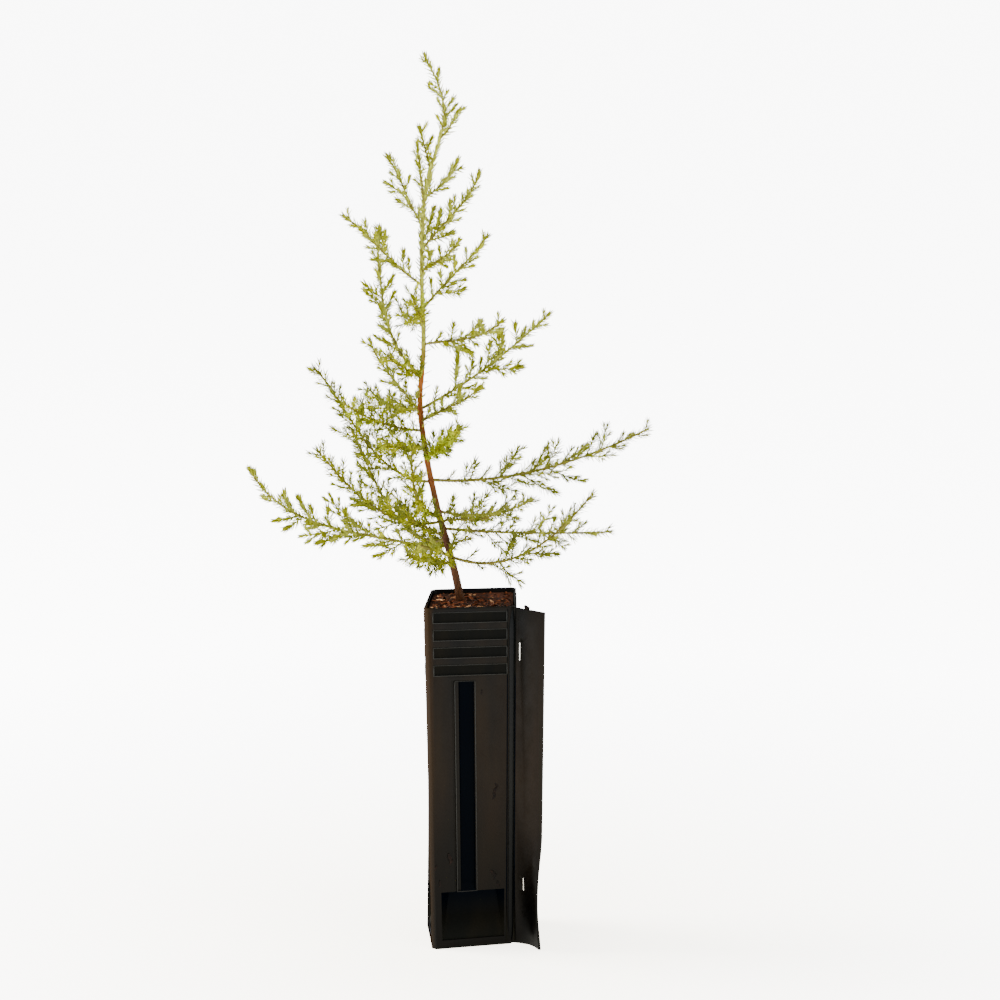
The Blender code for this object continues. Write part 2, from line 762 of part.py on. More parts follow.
def shoot_reach(bough_length, share):
    """The longest a side shoot grows at a share of the bough: less towards the tip."""
    fade = max(0.0, (share - SHOOT_FADE_FROM) / (SHOOT_FADE_TO - SHOOT_FADE_FROM))
    return (SHOOT_BASE + SHOOT_PER_LENGTH * bough_length) * blend(1.0, SHOOT_TIP_SHARE, fade)


def side_shoots(seed, points, start):
    """Yield the path of every side shoot that the seeded rule puts on a bough."""
    total = path_length(points)
    count = int(total * (SHOOT_LAST - SHOOT_FIRST) / SHOOT_PITCH) + 1
    for number in range(count):
        rng = random.Random(seed * SEEDS_PER_BOUGH + number)
        distance = total * SHOOT_FIRST + number * SHOOT_PITCH
        length = shoot_reach(total, distance / total) * rng.uniform(*SHOOT_LENGTHS)
        roll = number * GOLDEN_ANGLE + rng.uniform(-SHOOT_ROLL, SHOOT_ROLL)
        if distance < start + SHOOT_CLEAR:
            continue
        root, tangent = along(points, distance)
        side, over = ring_frame(tangent, Vector((-tangent.y, tangent.x, 0.01)))
        outward = side * math.cos(roll) + over * math.sin(roll)
        direction = tangent * math.cos(SHOOT_SPLAY) + outward * math.sin(SHOOT_SPLAY)
        lifted = (direction + Vector((0, 0, SHOOT_LIFT))).normalized()
        middle = root + (direction + lifted).normalized() * (length * 0.5)
        yield [root, middle, middle + lifted * (length * 0.5)]


def whorl_places(start, end, pitch):
    """Distances of whorls from start to end, evenly spread at about a pitch."""
    count = max(1, round((end - start) / pitch))
    return [start + (end - start) * (index + 0.5) / count for index in range(count)]


def make_spray(name, seed, points, start, spaces, collection, material):
    """One mass: a needled stem with the side shoots that have room, joined into one solid."""
    def allowed(place):
        return spaces.allows(name, place)

    total = path_length(points)
    stem_count = max(LEAST_STEPS, round((total - start) / AXIS_STEP))
    stem = [along(points, blend(start, total, step / stem_count))[0]
            for step in range(stem_count + 1)]
    stem_length = path_length(stem)
    whorls = whorl_places(WHORL_FIRST, stem_length - BUD_LENGTH, WHORL_PITCH)
    mesh = needled_twig(name, stem, (STEM_RADIUS, STEM_RADIUS, STEM_TIP_RADIUS), whorls,
                        NEEDLE_LENGTH, allowed)
    spray = add_object(name, mesh, collection, material)

    shoots = new_collection(f"{name}_shoots")
    for number, shoot in enumerate(side_shoots(seed, points, start)):
        length = path_length(shoot)
        if length < SHOOT_SHORTEST or not (allowed(shoot[1]) and allowed(shoot[2])):
            continue
        places = whorl_places(length * SHOOT_BARE, length - SHOOT_BUD, WHORL_PITCH * SHOOT_SCALE)
        radii = (SHOOT_ROOT_RADIUS, SHOOT_RADIUS, STEM_TIP_RADIUS * SHOOT_SCALE)
        twig = needled_twig(f"{name}_shoot", shoot, radii, places, NEEDLE_LENGTH * SHOOT_SCALE,
                            allowed)
        add_object(f"{name}_shoot_{number}", twig, shoots)
    if shoots.objects:
        add_boolean(spray, "UNION", shoots)
        apply_modifiers(spray)
    empty_collection(shoots)
    return spray


def make_crown(collection, materials):
    """Every limb and every mass of foliage, from the lowest bough to the leader."""
    axes = {f"spray_{number:02d}": bough_axis(bough)
            for number, bough in enumerate(BOUGHS, start=1)}
    axes["leader_spray"] = leader_axis()
    spaces = Spaces(axes)
    for number, bough in enumerate(BOUGHS, start=1):
        points = axes[f"spray_{number:02d}"]
        radius = limb_radius(bough, 0) if bough.limb else STEM_RADIUS
        start = clear_of_trunk(points, radius)
        if bough.limb:
            start = make_limb(f"bough_{number:02d}", bough, points, start, collection,
                              materials["young_bark"]) + GAP
        make_spray(f"spray_{number:02d}", number, points, start, spaces, collection,
                   materials["needles"])
    make_spray("leader_spray", LEADER_SEED, axes["leader_spray"], GAP, spaces, collection,
               materials["needles"])


def main():
    clear_scene()
    parts = new_collection("arizona_cypress")
    materials = {name: make_material(name) for name in COLORS}
    make_pot(parts, materials["pot_plastic"])
    make_substrate(parts, materials["peat"])
    make_staples(parts, materials["staple_steel"])
    make_trunk(parts, materials["bark"])
    make_crown(parts, materials)


main()
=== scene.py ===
"""A young Arizona cypress in a folded forestry pot, finished round its solid model.

Metres, +Z up. The origin is the middle of the pot's flat underside, and its front faces -Y.
"""

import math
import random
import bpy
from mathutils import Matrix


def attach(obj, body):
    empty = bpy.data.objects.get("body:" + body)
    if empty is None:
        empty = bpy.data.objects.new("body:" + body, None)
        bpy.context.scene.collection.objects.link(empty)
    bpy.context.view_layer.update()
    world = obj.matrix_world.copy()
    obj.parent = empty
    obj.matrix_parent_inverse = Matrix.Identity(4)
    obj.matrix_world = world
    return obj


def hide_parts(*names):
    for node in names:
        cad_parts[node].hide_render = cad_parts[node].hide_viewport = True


bl_info = {
    "name": "Arizona Cypress in a Forestry Pot",
    "version": (1, 0, 0),
    "blender": (4, 5, 0),
    "location": "View3D > Sidebar > Cypress",
    "description": "Grows a young Arizona cypress in its folded pot, with bark, needles and soil",
    "category": "Add Mesh",
}

from collections import namedtuple
from contextlib import contextmanager

import bpy
import numpy as np
from mathutils import Matrix, Vector, noise
from mathutils.kdtree import KDTree

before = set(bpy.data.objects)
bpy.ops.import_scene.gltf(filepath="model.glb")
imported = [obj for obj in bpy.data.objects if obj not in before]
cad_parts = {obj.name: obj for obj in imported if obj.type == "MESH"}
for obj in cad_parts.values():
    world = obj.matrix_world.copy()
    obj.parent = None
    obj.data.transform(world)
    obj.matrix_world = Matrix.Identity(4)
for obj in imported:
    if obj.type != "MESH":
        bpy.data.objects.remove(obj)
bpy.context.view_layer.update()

# --- The plant's plan, as its solids have it -------------------------------------------------

POT_HEIGHT = 0.1965
POT_RIM = 0.0500
POT_FOOT = 0.0475
POT_WALL = 0.0014
POT_TWIST = math.radians(7)
POT_RACK = math.radians(4.5)
RIM_LEAN = 0.0012
RIM_PINCH = 0.035
SOIL_TOP = 0.1940
SIDES = 4
PRESSED_HALF = 0.0203
LABEL_TOP = 0.1940
LABEL_PITCH = 0.010
LABEL_HEIGHT = 0.006
LABEL_HALF_WIDTH = 0.0199
LABEL_COUNT = 4
RIB_FRAME = (-0.0087, 0.0024)
RIB_TOP = 0.1547
WEDGE_TOP = 0.033
FLANGE_ROOT_INSET = 0.00125
FLANGE_HEADINGS = (math.radians(-50), math.radians(-45))

Trunk = namedtuple("Trunk", "height x y diameter")
TRUNK = tuple(Trunk(*row) for row in (
    (-0.004, -0.0045, 0.0030, 0.0062),
    (0.004, -0.0058, 0.0030, 0.0044),
    (0.025, -0.0104, 0.0022, 0.0036),
    (0.053, -0.0177, 0.0008, 0.0032),
    (0.081, -0.0235, -0.0008, 0.0029),
    (0.112, -0.0273, -0.0012, 0.0026),
    (0.145, -0.0252, 0.0002, 0.0023),
    (0.180, -0.0260, 0.0014, 0.0020),
    (0.212, -0.0256, 0.0012, 0.0017),
    (0.236, -0.0228, 0.0002, 0.0014),
    (0.262, -0.0153, -0.0004, 0.0010),
    (0.275, -0.0135, 0.0002, 0.0008),
    (0.290, -0.0170, 0.0008, 0.0007),
    (0.304, -0.0234, 0.0010, 0.0006),
))
TRUNK_TOP = 0.263

# One row for each bough: where it leaves the trunk, its compass heading (0 is +X and 90 is +Y),
# how far the heading swings, its length, how steeply it rises at its start, middle and end, the
# share of it that is a bare limb, and the tint of its needles.
Bough = namedtuple("Bough", "height heading swing length rises limb tint")
BOUGHS = tuple(Bough(*row) for row in (
    (0.021, 245, 0, 0.064, (19, 14, 21), 0, "green"),
    (0.026, -25, 0, 0.102, (-19, 31, 52), 0.17, "grey"),
    (0.026, 184, 0, 0.127, (25, 15, 66), 0.17, "olive"),
    (0.031, 110, 0, 0.054, (-4, -14, -36), 0, "green"),
    (0.033, -60, 0, 0.026, (6, 21, 6), 0, "grey"),
    (0.036, 130, 0, 0.105, (-25, 41, 53), 0.17, "green"),
    (0.037, 215, 0, 0.034, (30, 28, 36), 0, "green"),
    (0.042, 18, 0, 0.102, (-9, -5, -2), 0.17, "grey"),
    (0.046, -55, 0, 0.055, (19, 9, 33), 0, "grey"),
    (0.046, 205, 0, 0.093, (-8, 37, 50), 0.17, "green"),
    (0.051, 236, 30, 0.066, (-2, 52, 84), 0, "yellow"),
    (0.052, 52, 0, 0.093, (-16, -6, 11), 0.17, "grey"),
    (0.069, 160, 0, 0.096, (-5, 52, 43), 0.17, "green"),
    (0.070, -5, 0, 0.126, (-4, 15, 27), 0.17, "grey"),
    (0.080, -70, 0, 0.057, (46, 21, 44), 0, "bright"),
    (0.089, 245, 0, 0.063, (4, 11, 5), 0, "yellow"),
    (0.098, 228, 0, 0.070, (9, 20, 33), 0.20, "yellow"),
    (0.103, -48, 0, 0.053, (31, 24, 39), 0, "olive"),
    (0.108, 170, 0, 0.049, (54, 51, 70), 0, "olive"),
    (0.110, 118, 0, 0.060, (-10, 0, 27), 0, "yellow"),
    (0.110, 12, 0, 0.090, (25, 35, 42), 0.17, "olive"),
    (0.127, 240, 0, 0.043, (30, 22, 35), 0, "yellow"),
    (0.129, 140, 0, 0.088, (21, 75, 82), 0.17, "olive"),
    (0.146, -42, 0, 0.060, (14, 13, 41), 0.20, "olive"),
    (0.155, 115, 0, 0.031, (31, 1, 55), 0, "yellow"),
    (0.158, 255, 0, 0.029, (31, 38, 48), 0, "yellow"),
    (0.165, 25, 0, 0.056, (50, 41, 51), 0.20, "olive"),
    (0.179, 195, 0, 0.059, (32, 46, 34), 0.20, "olive"),
    (0.186, -60, 0, 0.044, (31, 23, 48), 0, "olive"),
    (0.198, -12, 0, 0.054, (55, 48, 73), 0.20, "olive"),
    (0.202, 70, 0, 0.027, (15, 46, 32), 0, "olive"),
    (0.212, 160, 0, 0.042, (52, 66, 51), 0, "olive"),
    (0.225, 230, 0, 0.032, (71, 82, 76), 0, "olive"),
    (0.227, 40, 0, 0.031, (23, 36, 60), 0, "olive"),
    (0.243, 140, 0, 0.023, (72, 70, 73), 0, "olive"),
    (0.260, -20, 0, 0.019, (28, 61, 50), 0, "olive"),
))
LEADER_TINT = "olive"

# Single twigs that stand out: their bough, how far along it they leave, the angle that they make
# as seen from the front (0 is right and 90 is up), and their length.
Twig = namedtuple("Twig", "bough share angle length")
TWIGS = tuple(Twig(*row) for row in (
    (2, 0.29, -49, 0.011), (2, 0.32, 62, 0.008), (2, 0.37, 85, 0.015),
    (2, 0.47, -2, 0.015),
    (3, 0.27, -164, 0.015), (3, 0.44, 113, 0.014), (3, 0.48, -159, 0.016),
    (3, 0.55, 97, 0.011), (3, 0.61, 114, 0.009), (3, 0.68, -146, 0.011),
    (3, 0.71, 126, 0.012),
    (8, 0.37, 48, 0.008), (8, 0.51, 65, 0.008), (8, 0.62, 62, 0.009),
    (12, 0.11, 70, 0.009), (12, 0.39, 60, 0.014),
    (13, 0.59, 143, 0.010),
    (14, 0.14, 57, 0.013), (14, 0.17, 66, 0.010), (14, 0.23, -19, 0.020),
    (14, 0.30, 58, 0.020), (14, 0.39, 39, 0.011), (14, 0.40, -27, 0.022),
    (14, 0.42, 38, 0.016), (14, 0.51, 63, 0.016), (14, 0.58, 56, 0.011),
    (14, 0.70, 66, 0.012),
    (15, 0.16, 86, 0.011), (15, 0.21, 18, 0.009), (15, 0.24, 68, 0.011),
    (15, 0.42, 61, 0.012), (15, 0.58, 49, 0.011),
    (17, 0.38, 77, 0.011), (17, 0.53, 86, 0.012), (17, 0.64, 98, 0.014),
    (17, 0.72, 103, 0.009),
    (21, 0.25, 86, 0.020), (21, 0.48, 78, 0.014), (21, 0.49, 1, 0.019),
    (21, 0.58, 89, 0.015), (21, 0.73, 96, 0.010),
    (23, 0.37, 153, 0.006), (23, 0.51, 60, 0.010), (23, 0.59, 142, 0.012),
    (24, 0.23, -23, 0.016), (24, 0.33, 79, 0.009), (24, 0.45, -55, 0.011),
    (24, 0.68, 89, 0.007),
    (27, 0.22, 8, 0.015), (27, 0.30, 97, 0.008),
    (28, 0.23, 89, 0.010), (28, 0.49, 99, 0.013), (28, 0.69, 105, 0.008),
    (30, 0.14, 17, 0.013), (30, 0.17, 70, 0.015), (30, 0.42, 83, 0.009),
    (32, 0.25, 150, 0.009),
))
LIMB_BASE = 0.00062
LIMB_PER_LENGTH = 0.0022
LIMB_TIP_SHARE = 0.60
STEM_RADIUS = 0.00058

# The seeded rule that sets side shoots along each stem.
SHOOT_PITCH = 0.0075
SHOOT_FIRST = 0.10
SHOOT_LAST = 0.90
SHOOT_BASE = 0.0045
SHOOT_PER_LENGTH = 0.16
SHOOT_SHORTEST = 0.0068
SHOOT_LENGTHS = (0.62, 1.1)
SHOOT_FADE_FROM = 0.5
SHOOT_FADE_TO = 0.95
SHOOT_TIP_SHARE = 0.25
SHOOT_CLEAR = 0.0022
SHOOT_ROLL = 0.5
SHOOT_SPLAY = math.radians(46)
SHOOT_LIFT = 0.22
GOLDEN_ANGLE = math.radians(137.5)
SEEDS_PER_BOUGH = 1000
LEADER_SEED = 99

SPACE_MARGIN = 0.0012
AXIS_STEP = 0.0015
LEAST_STEPS = 8
SOIL_CLEARANCE = 0.0025
RIM_CLEARANCE = 0.0015

# The short shoots along a bough of each tint: how close they stand, the shortest and longest,
# how wide their needles are, and how near a shoot's end its needles begin to crowd.
Tufts = namedtuple("Tufts", "pitch shortest longest width crowd")
TUFTS = {
    "olive": Tufts(0.0056, 0.0055, 0.0105, 1.00, 0.0080),
    "grey": Tufts(0.0056, 0.0055, 0.0115, 0.72, 0.0045),
    "green": Tufts(0.0022, 0.0060, 0.0145, 0.68, 0.0045),
    "yellow": Tufts(0.0020, 0.0060, 0.0140, 0.68, 0.0045),
    "bright": Tufts(0.0022, 0.0055, 0.0105, 0.74, 0.0050),
}

# How the twigs of a bough of each tint are dealt their own tints.
DEALS = {
    "olive": {"olive": 0.68, "yellow": 0.16, "green": 0.16},
    "grey": {"grey": 0.52, "olive": 0.22, "tip": 0.26},
    "green": {"green": 0.42, "yellow": 0.20, "olive": 0.10, "tip": 0.28},
    "yellow": {"yellow": 0.36, "bright": 0.20, "green": 0.22, "tip": 0.22},
    "bright": {"bright": 0.44, "yellow": 0.20, "green": 0.20, "tip": 0.16},
}
TIP_TINTS = {"olive": "green"}
DRAWN_FULLNESS = 1.12
TUFT_SEED = 40000
TUFTS_FROM = 0.0060
TUFTS_UNTIL = 0.4
TUFT_TURN = 1.2
TUFT_STEPS = (0.7, 1.3)
TUFT_TIP_SHARE = 0.6
TWIG_TURNS = (-0.3, 0.3)
TWIG_SAG = 0.05
TWIGLET_PITCH = 0.0034
TWIGLET_STEPS = (0.8, 1.3)
TWIGLET_FIRST = 0.28
TWIGLET_LAST = 0.86
TWIGLET_FADE = (1.1, 0.6)
TWIGLET_ROLL = 0.6
TWIGLET_FULLNESS = 0.9
SHOOT_FULLNESS = (0.72, 1.0)
CURVE_STEPS = 6
TWIGLET_SEED = 70000
TWIGLET_PARENT = 0.0112
TWIGLET_LENGTHS = (0.26, 0.42)
TWIGLET_LONGEST = 0.0085
TWIGLET_SPLAY = math.radians(40)
SHOOT_RADIUS = 0.00040
TWIGLET_RADIUS = 0.00026
TIP_RADIUS = 0.00020

# A side shoot that would come forward past this is shortened, so that its needles end about
# 3 mm past the solids at the front, but never to less than the least share of its length.
FRONT_REACH = -0.0555
LEAST_SHARE = 0.35


def blend(low, high, share):
    return low + (high - low) * share


def pot_half(height, inset=0.0):
    """Half the pot's outer width at a height, less an inset."""
    return blend(POT_FOOT, POT_RIM, height / POT_HEIGHT) / 2 - inset


def settle(point):
    """The twist, rack and lean of the folded pot, for a point given on the straight one."""
    lean = math.tan(POT_RACK)
    share = point[2] / POT_HEIGHT
    pinch = 1 - RIM_PINCH * share * point[1] / (POT_RIM / 2)
    x, y = point[0] * pinch + lean * point[1], point[1] + lean * point[0]
    turn = POT_TWIST * (1 - share)
    cos, sin = math.cos(turn), math.sin(turn)
    return Vector((cos * x - sin * y + RIM_LEAN * share, sin * x + cos * y, point[2]))


def straighten(point):
    """The point of the straight pot that `settle` brings to a point of the folded one."""
    share = point[2] / POT_HEIGHT
    turn = -POT_TWIST * (1 - share)
    cos, sin = math.cos(turn), math.sin(turn)
    x, y = point[0] - RIM_LEAN * share, point[1]
    x, y = cos * x - sin * y, sin * x + cos * y
    lean = math.tan(POT_RACK)
    across, deep = x, y
    for _ in range(4):
        pinch = 1 - RIM_PINCH * share * deep / (POT_RIM / 2)
        across = (x - lean * deep) / pinch
        deep = y - lean * across
    return Vector((across, deep, point[2]))


def on_side(side, across, height, proud=0.0):
    """A point on one side of the folded pot, given across that side and up it."""
    away = pot_half(height) + proud
    angle = side * math.pi / 2
    cos, sin = math.cos(angle), math.sin(angle)
    return settle((cos * across + sin * away, sin * across - cos * away, height))


def trunk_at(height):
    """The trunk's axis point and radius at a height above the soil, on a smooth curve."""
    index = 0
    while index < len(TRUNK) - 2 and TRUNK[index + 1].height < height:
        index += 1
    before, low, high, after = (TRUNK[max(0, min(len(TRUNK) - 1, index + step))]
                                for step in (-1, 0, 1, 2))
    share = (height - low.height) / (high.height - low.height)

    def smooth(field):
        a, b, c, d = (getattr(row, field) for row in (before, low, high, after))
        return b + 0.5 * share * (c - a + share * (2 * a - 5 * b + 4 * c - d
                                                   + share * (3 * (b - c) + d - a)))

    centre = Vector((smooth("x"), smooth("y"), SOIL_TOP + height))
    return centre, blend(low.diameter, high.diameter, share) / 2


def rise_at(bough, share):
    """How steeply a bough climbs, in degrees, through its start, middle and end values."""
    start, middle, end = bough.rises
    return (start * (1 - share) * (1 - 2 * share) + middle * 4 * share * (1 - share)
            + end * share * (2 * share - 1))


def bough_axis(bough):
    """The points of a bough's axis from the middle of the trunk to its tip."""
    count = max(LEAST_STEPS, round(bough.length / AXIS_STEP))
    point = trunk_at(bough.height)[0]
    points = [point]
    for step in range(count):
        share = (step + 0.5) / count
        rise = math.radians(rise_at(bough, share))
        heading = math.radians(bough.heading + bough.swing * share)
        direction = Vector((math.cos(rise) * math.cos(heading),
                            math.cos(rise) * math.sin(heading), math.sin(rise)))
        point = point + direction * (bough.length / count)
        points.append(point)
    return points


def leader_axis():
    """The axis of the shoot that goes on from the trunk's top to the tip."""
    last = TRUNK[-1].height
    count = round((last - TRUNK_TOP) / AXIS_STEP)
    return [trunk_at(blend(TRUNK_TOP, last, step / count))[0] for step in range(count + 1)]


def along(points, distance):
    """The point and direction at a distance along a path."""
    for start, end in zip(points, points[1:]):
        step = (end - start).length
        if distance <= step:
            return start + (end - start) * (distance / step), (end - start).normalized()
        distance -= step
    return points[-1].copy(), (points[-1] - points[-2]).normalized()


def path_length(points):
    return sum((end - start).length for start, end in zip(points, points[1:]))


def ring_frame(direction, side):
    """Carry a side vector on to a new direction, turned as little as it can be."""
    side = (side - direction * side.dot(direction)).normalized()
    return side, direction.cross(side)


class Spaces:
    """Tells which bough a point is nearest to, so that every mass keeps to its own space."""

    def __init__(self, axes):
        self.owners = []
        self.radii = []
        places = []
        for step in range(int(TRUNK_TOP / AXIS_STEP) + 1):
            centre, radius = trunk_at(step * AXIS_STEP)
            places.append(centre)
            self.owners.append("trunk")
            self.radii.append(radius)
        for owner, points in axes.items():
            places.extend(points)
            self.owners.extend([owner] * len(points))
            self.radii.extend([STEM_RADIUS] * len(points))
        self.tree = KDTree(len(places))
        for index, place in enumerate(places):
            self.tree.insert(place, index)
        self.tree.balance()

    def above_pot(self, point):
        half = pot_half(POT_HEIGHT, POT_WALL + RIM_CLEARANCE)
        inside = max(abs(point.x), abs(point.y)) < half
        return point.z >= (SOIL_TOP + SOIL_CLEARANCE if inside else POT_HEIGHT + RIM_CLEARANCE)

    def allows(self, owner, point):
        if not self.above_pot(point):
            return False
        own = self.tree.find(point, filter=lambda index: self.owners[index] == owner)[2]
        _, other, distance = self.tree.find(point,
                                            filter=lambda index: self.owners[index] != owner)
        return own + SPACE_MARGIN < distance - self.radii[other]


# --- The seeded rule, carried on to finer twigs ----------------------------------------------

Stem = namedtuple("Stem", "owner level points start_radius end_radius start fullness")


def shoot_reach(bough_length, share):
    """The longest a side shoot grows at a share of the bough: less towards the tip."""
    fade = max(0.0, (share - SHOOT_FADE_FROM) / (SHOOT_FADE_TO - SHOOT_FADE_FROM))
    return (SHOOT_BASE + SHOOT_PER_LENGTH * bough_length) * blend(1.0, SHOOT_TIP_SHARE, fade)


def side_shoots(seed, points, start):
    """Yield the path of every side shoot that the seeded rule puts on a bough."""
    total = path_length(points)
    count = int(total * (SHOOT_LAST - SHOOT_FIRST) / SHOOT_PITCH) + 1
    for number in range(count):
        rng = random.Random(seed * SEEDS_PER_BOUGH + number)
        distance = total * SHOOT_FIRST + number * SHOOT_PITCH
        length = shoot_reach(total, distance / total) * rng.uniform(*SHOOT_LENGTHS)
        roll = number * GOLDEN_ANGLE + rng.uniform(-SHOOT_ROLL, SHOOT_ROLL)
        if distance < start + SHOOT_CLEAR:
            continue
        root, tangent = along(points, distance)
        yield grow_shoot(root, tangent, roll, length, SHOOT_SPLAY)


def grow_shoot(root, tangent, roll, length, splay):
    """A shoot of three points that leaves a stem at a splay and lifts towards the light."""
    side, over = ring_frame(tangent, Vector((-tangent.y, tangent.x, 0.01)))
    outward = side * math.cos(roll) + over * math.sin(roll)
    direction = tangent * math.cos(splay) + outward * math.sin(splay)
    lifted = (direction + Vector((0, 0, SHOOT_LIFT))).normalized()
    middle = root + (direction + lifted).normalized() * (length * 0.5)
    return [root, middle, middle + lifted * (length * 0.5)]


def drawn_shoot(points, twig, turn):
    """A shoot of three points along a twig that stands out, sagging a little in its middle."""
    root, _ = along(points, path_length(points) * twig.share)
    angle = math.radians(twig.angle)
    direction = Vector((math.cos(angle), turn, math.sin(angle))).normalized()
    tip = root + direction * twig.length
    return [root, (root + tip) / 2 - Vector((0, 0, twig.length * TWIG_SAG)), tip]


def curved(points):
    """Three points made into a smooth path."""
    a, b, c = points
    handle = b * 2 - (a + c) / 2
    shares = [step / CURVE_STEPS for step in range(CURVE_STEPS + 1)]
    return [a * (1 - share) ** 2 + handle * (2 * share * (1 - share)) + c * share ** 2
            for share in shares]


def limb_radius(length, share):
    return (LIMB_BASE + LIMB_PER_LENGTH * length) * blend(1.0, LIMB_TIP_SHARE, share)


def drawn_in(shoot):
    """A shoot, shortened where it would carry its needles far past the solids at the front."""
    root, reach = shoot[0], min(point.y for point in shoot)
    if reach >= FRONT_REACH:
        return shoot
    room, forward = root.y - FRONT_REACH, root.y - reach
    share = max(LEAST_SHARE, room / forward if forward else 0.0)
    return [root.lerp(point, share) for point in shoot]


def tufts(owner, points, start, rng, spaces):
    """Yield the short shoots that stand close together along a bough."""
    total = path_length(points)
    pitch, shortest, longest = TUFTS[tint_of(owner)][:3]
    distance = min(start, TUFTS_FROM) + pitch / 2
    number = 0
    while distance < total - pitch * TUFTS_UNTIL:
        root, tangent = along(points, distance)
        length = rng.uniform(shortest, longest) * blend(1.0, TUFT_TIP_SHARE, distance / total)
        roll = number * GOLDEN_ANGLE + TUFT_TURN
        tuft = grow_shoot(root, tangent, roll, length, SHOOT_SPLAY)
        if spaces.above_pot(tuft[2]):
            yield tuft
        distance += pitch * rng.uniform(*TUFT_STEPS)
        number += 1


def twiglets(owner, path, rng, fullness, spaces):
    """Yield the stems of the finest twigs, first to one side of a shoot and then to the other."""
    length = path_length(path)
    if length < TWIGLET_PARENT:
        return
    place = length * TWIGLET_FIRST
    turn = rng.uniform(0, math.tau)
    while place < length * TWIGLET_LAST:
        root, tangent = along(path, place)
        grown = min(TWIGLET_LONGEST, length * rng.uniform(*TWIGLET_LENGTHS)
                    * blend(*TWIGLET_FADE, place / length))
        twiglet = grow_shoot(root, tangent, turn, grown, TWIGLET_SPLAY)
        if spaces.above_pot(twiglet[2]):
            yield Stem(owner, 2, curved(twiglet), TWIGLET_RADIUS, TIP_RADIUS, 0.0,
                       fullness * TWIGLET_FULLNESS)
        turn += math.pi + rng.uniform(-TWIGLET_ROLL, TWIGLET_ROLL)
        place += TWIGLET_PITCH * rng.uniform(*TWIGLET_STEPS)


def grow_mass(owner, seed, points, start, spaces):
    """The stems of one mass: its axis, the shoots the rule gives, and finer twigs on those."""
    total = path_length(points)
    stems = [Stem(owner, 0, points, limb_radius(total, 0), limb_radius(total, 1), start, 1.0)]
    shoots = [shoot for shoot in side_shoots(seed, points, start)
              if path_length(shoot) >= SHOOT_SHORTEST
              and all(spaces.allows(owner, point) for point in shoot[1:])]
    rng = random.Random(TUFT_SEED + seed)
    twigs = [twig for twig in TWIGS if twig.bough == seed]
    drawn = range(len(shoots), len(shoots) + len(twigs))
    shoots += [drawn_shoot(points, twig, rng.uniform(*TWIG_TURNS)) for twig in twigs]
    shoots += tufts(owner, points, start, rng, spaces)
    for index, shoot in enumerate(shoots):
        path = curved(drawn_in(shoot))
        rng = random.Random(TWIGLET_SEED + seed * SEEDS_PER_BOUGH + index)
        fullness = DRAWN_FULLNESS if index in drawn else rng.uniform(*SHOOT_FULLNESS)
        stems.append(Stem(owner, 1, path, SHOOT_RADIUS, TIP_RADIUS, 0.0, fullness))
        stems += twiglets(owner, path, rng, fullness, spaces)
    return stems


def grow_crown():
    """Every stem of the crown, from the lowest bough to the leader."""
    axes = {f"spray_{number:02d}": bough_axis(bough)
            for number, bough in enumerate(BOUGHS, start=1)}
    axes["leader_spray"] = leader_axis()
    spaces = Spaces(axes)
    stems = []
    for number, bough in enumerate(BOUGHS, start=1):
        owner = f"spray_{number:02d}"
        start = max(bough.limb * bough.length, trunk_at(bough.height)[1] * 1.2)
        stems += grow_mass(owner, number, axes[owner], start, spaces)
    stems += grow_mass("leader_spray", LEADER_SEED, axes["leader_spray"], 0.0, spaces)
    return stems


def tint_of(owner):
    if owner == "leader_spray":
        return LEADER_TINT
    return BOUGHS[int(owner[-2:]) - 1].tint


# --- Small helpers ---------------------------------------------------------------------------

def deselect_all():
    if bpy.context.mode != "OBJECT":
        bpy.ops.object.mode_set(mode="OBJECT")
    bpy.ops.object.select_all(action="DESELECT")


def pick(thing):
    """Make one object the only selected one, and the active one."""
    deselect_all()
    thing.select_set(True)
    bpy.context.view_layer.objects.active = thing


@contextmanager
def editing(thing):
    """Edit mode on one object, with its whole mesh selected."""
    pick(thing)
    bpy.ops.object.mode_set(mode="EDIT")
    bpy.ops.mesh.select_all(action="SELECT")
    yield
    bpy.ops.object.mode_set(mode="OBJECT")


def apply_modifier(thing, modifier):
    pick(thing)
    bpy.ops.object.modifier_apply(modifier=modifier.name)


def settle_place(thing):
    """Put an object's place, turn and size into its mesh."""
    pick(thing)
    bpy.ops.object.transform_apply(location=True, rotation=True, scale=True)


def wear(thing, material):
    thing.data.materials.clear()
    thing.data.materials.append(material)


def belong(thing, slot, *nodes):
    """Ride on the plant's one body, and stand for the nodes it replaces. The slot is not used."""
    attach(thing, "root")
    if nodes:
        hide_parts(*nodes)


def dress(thing, degrees, material, slot, *nodes):
    """Smooth a piece up to an angle, give it its material, and say what it belongs to."""
    pick(thing)
    bpy.ops.object.shade_smooth_by_angle(angle=math.radians(degrees))
    wear(thing, material)
    belong(thing, slot, *nodes)


def object_from(name, corners, faces):
    mesh = bpy.data.meshes.new(name)
    mesh.from_pydata(corners, [], faces)
    mesh.validate()
    thing = bpy.data.objects.new(name, mesh)
    bpy.context.scene.collection.objects.link(thing)
    return thing


def joined_copies(name, unit, places):
    """One object that holds a copy of a small mesh at each 4 x 4 place."""
    corners = np.array([(*vert.co, 1.0) for vert in unit.vertices])
    faces = np.array([face.vertices[:] for face in unit.polygons])
    places = np.array(places)
    points = np.einsum("pij,cj->pci", places, corners)[:, :, :3].reshape(-1, 3)
    steps = np.arange(len(places))[:, None, None] * len(corners)
    return object_from(name, points.tolist(), (faces[None] + steps).reshape(-1, 3).tolist())


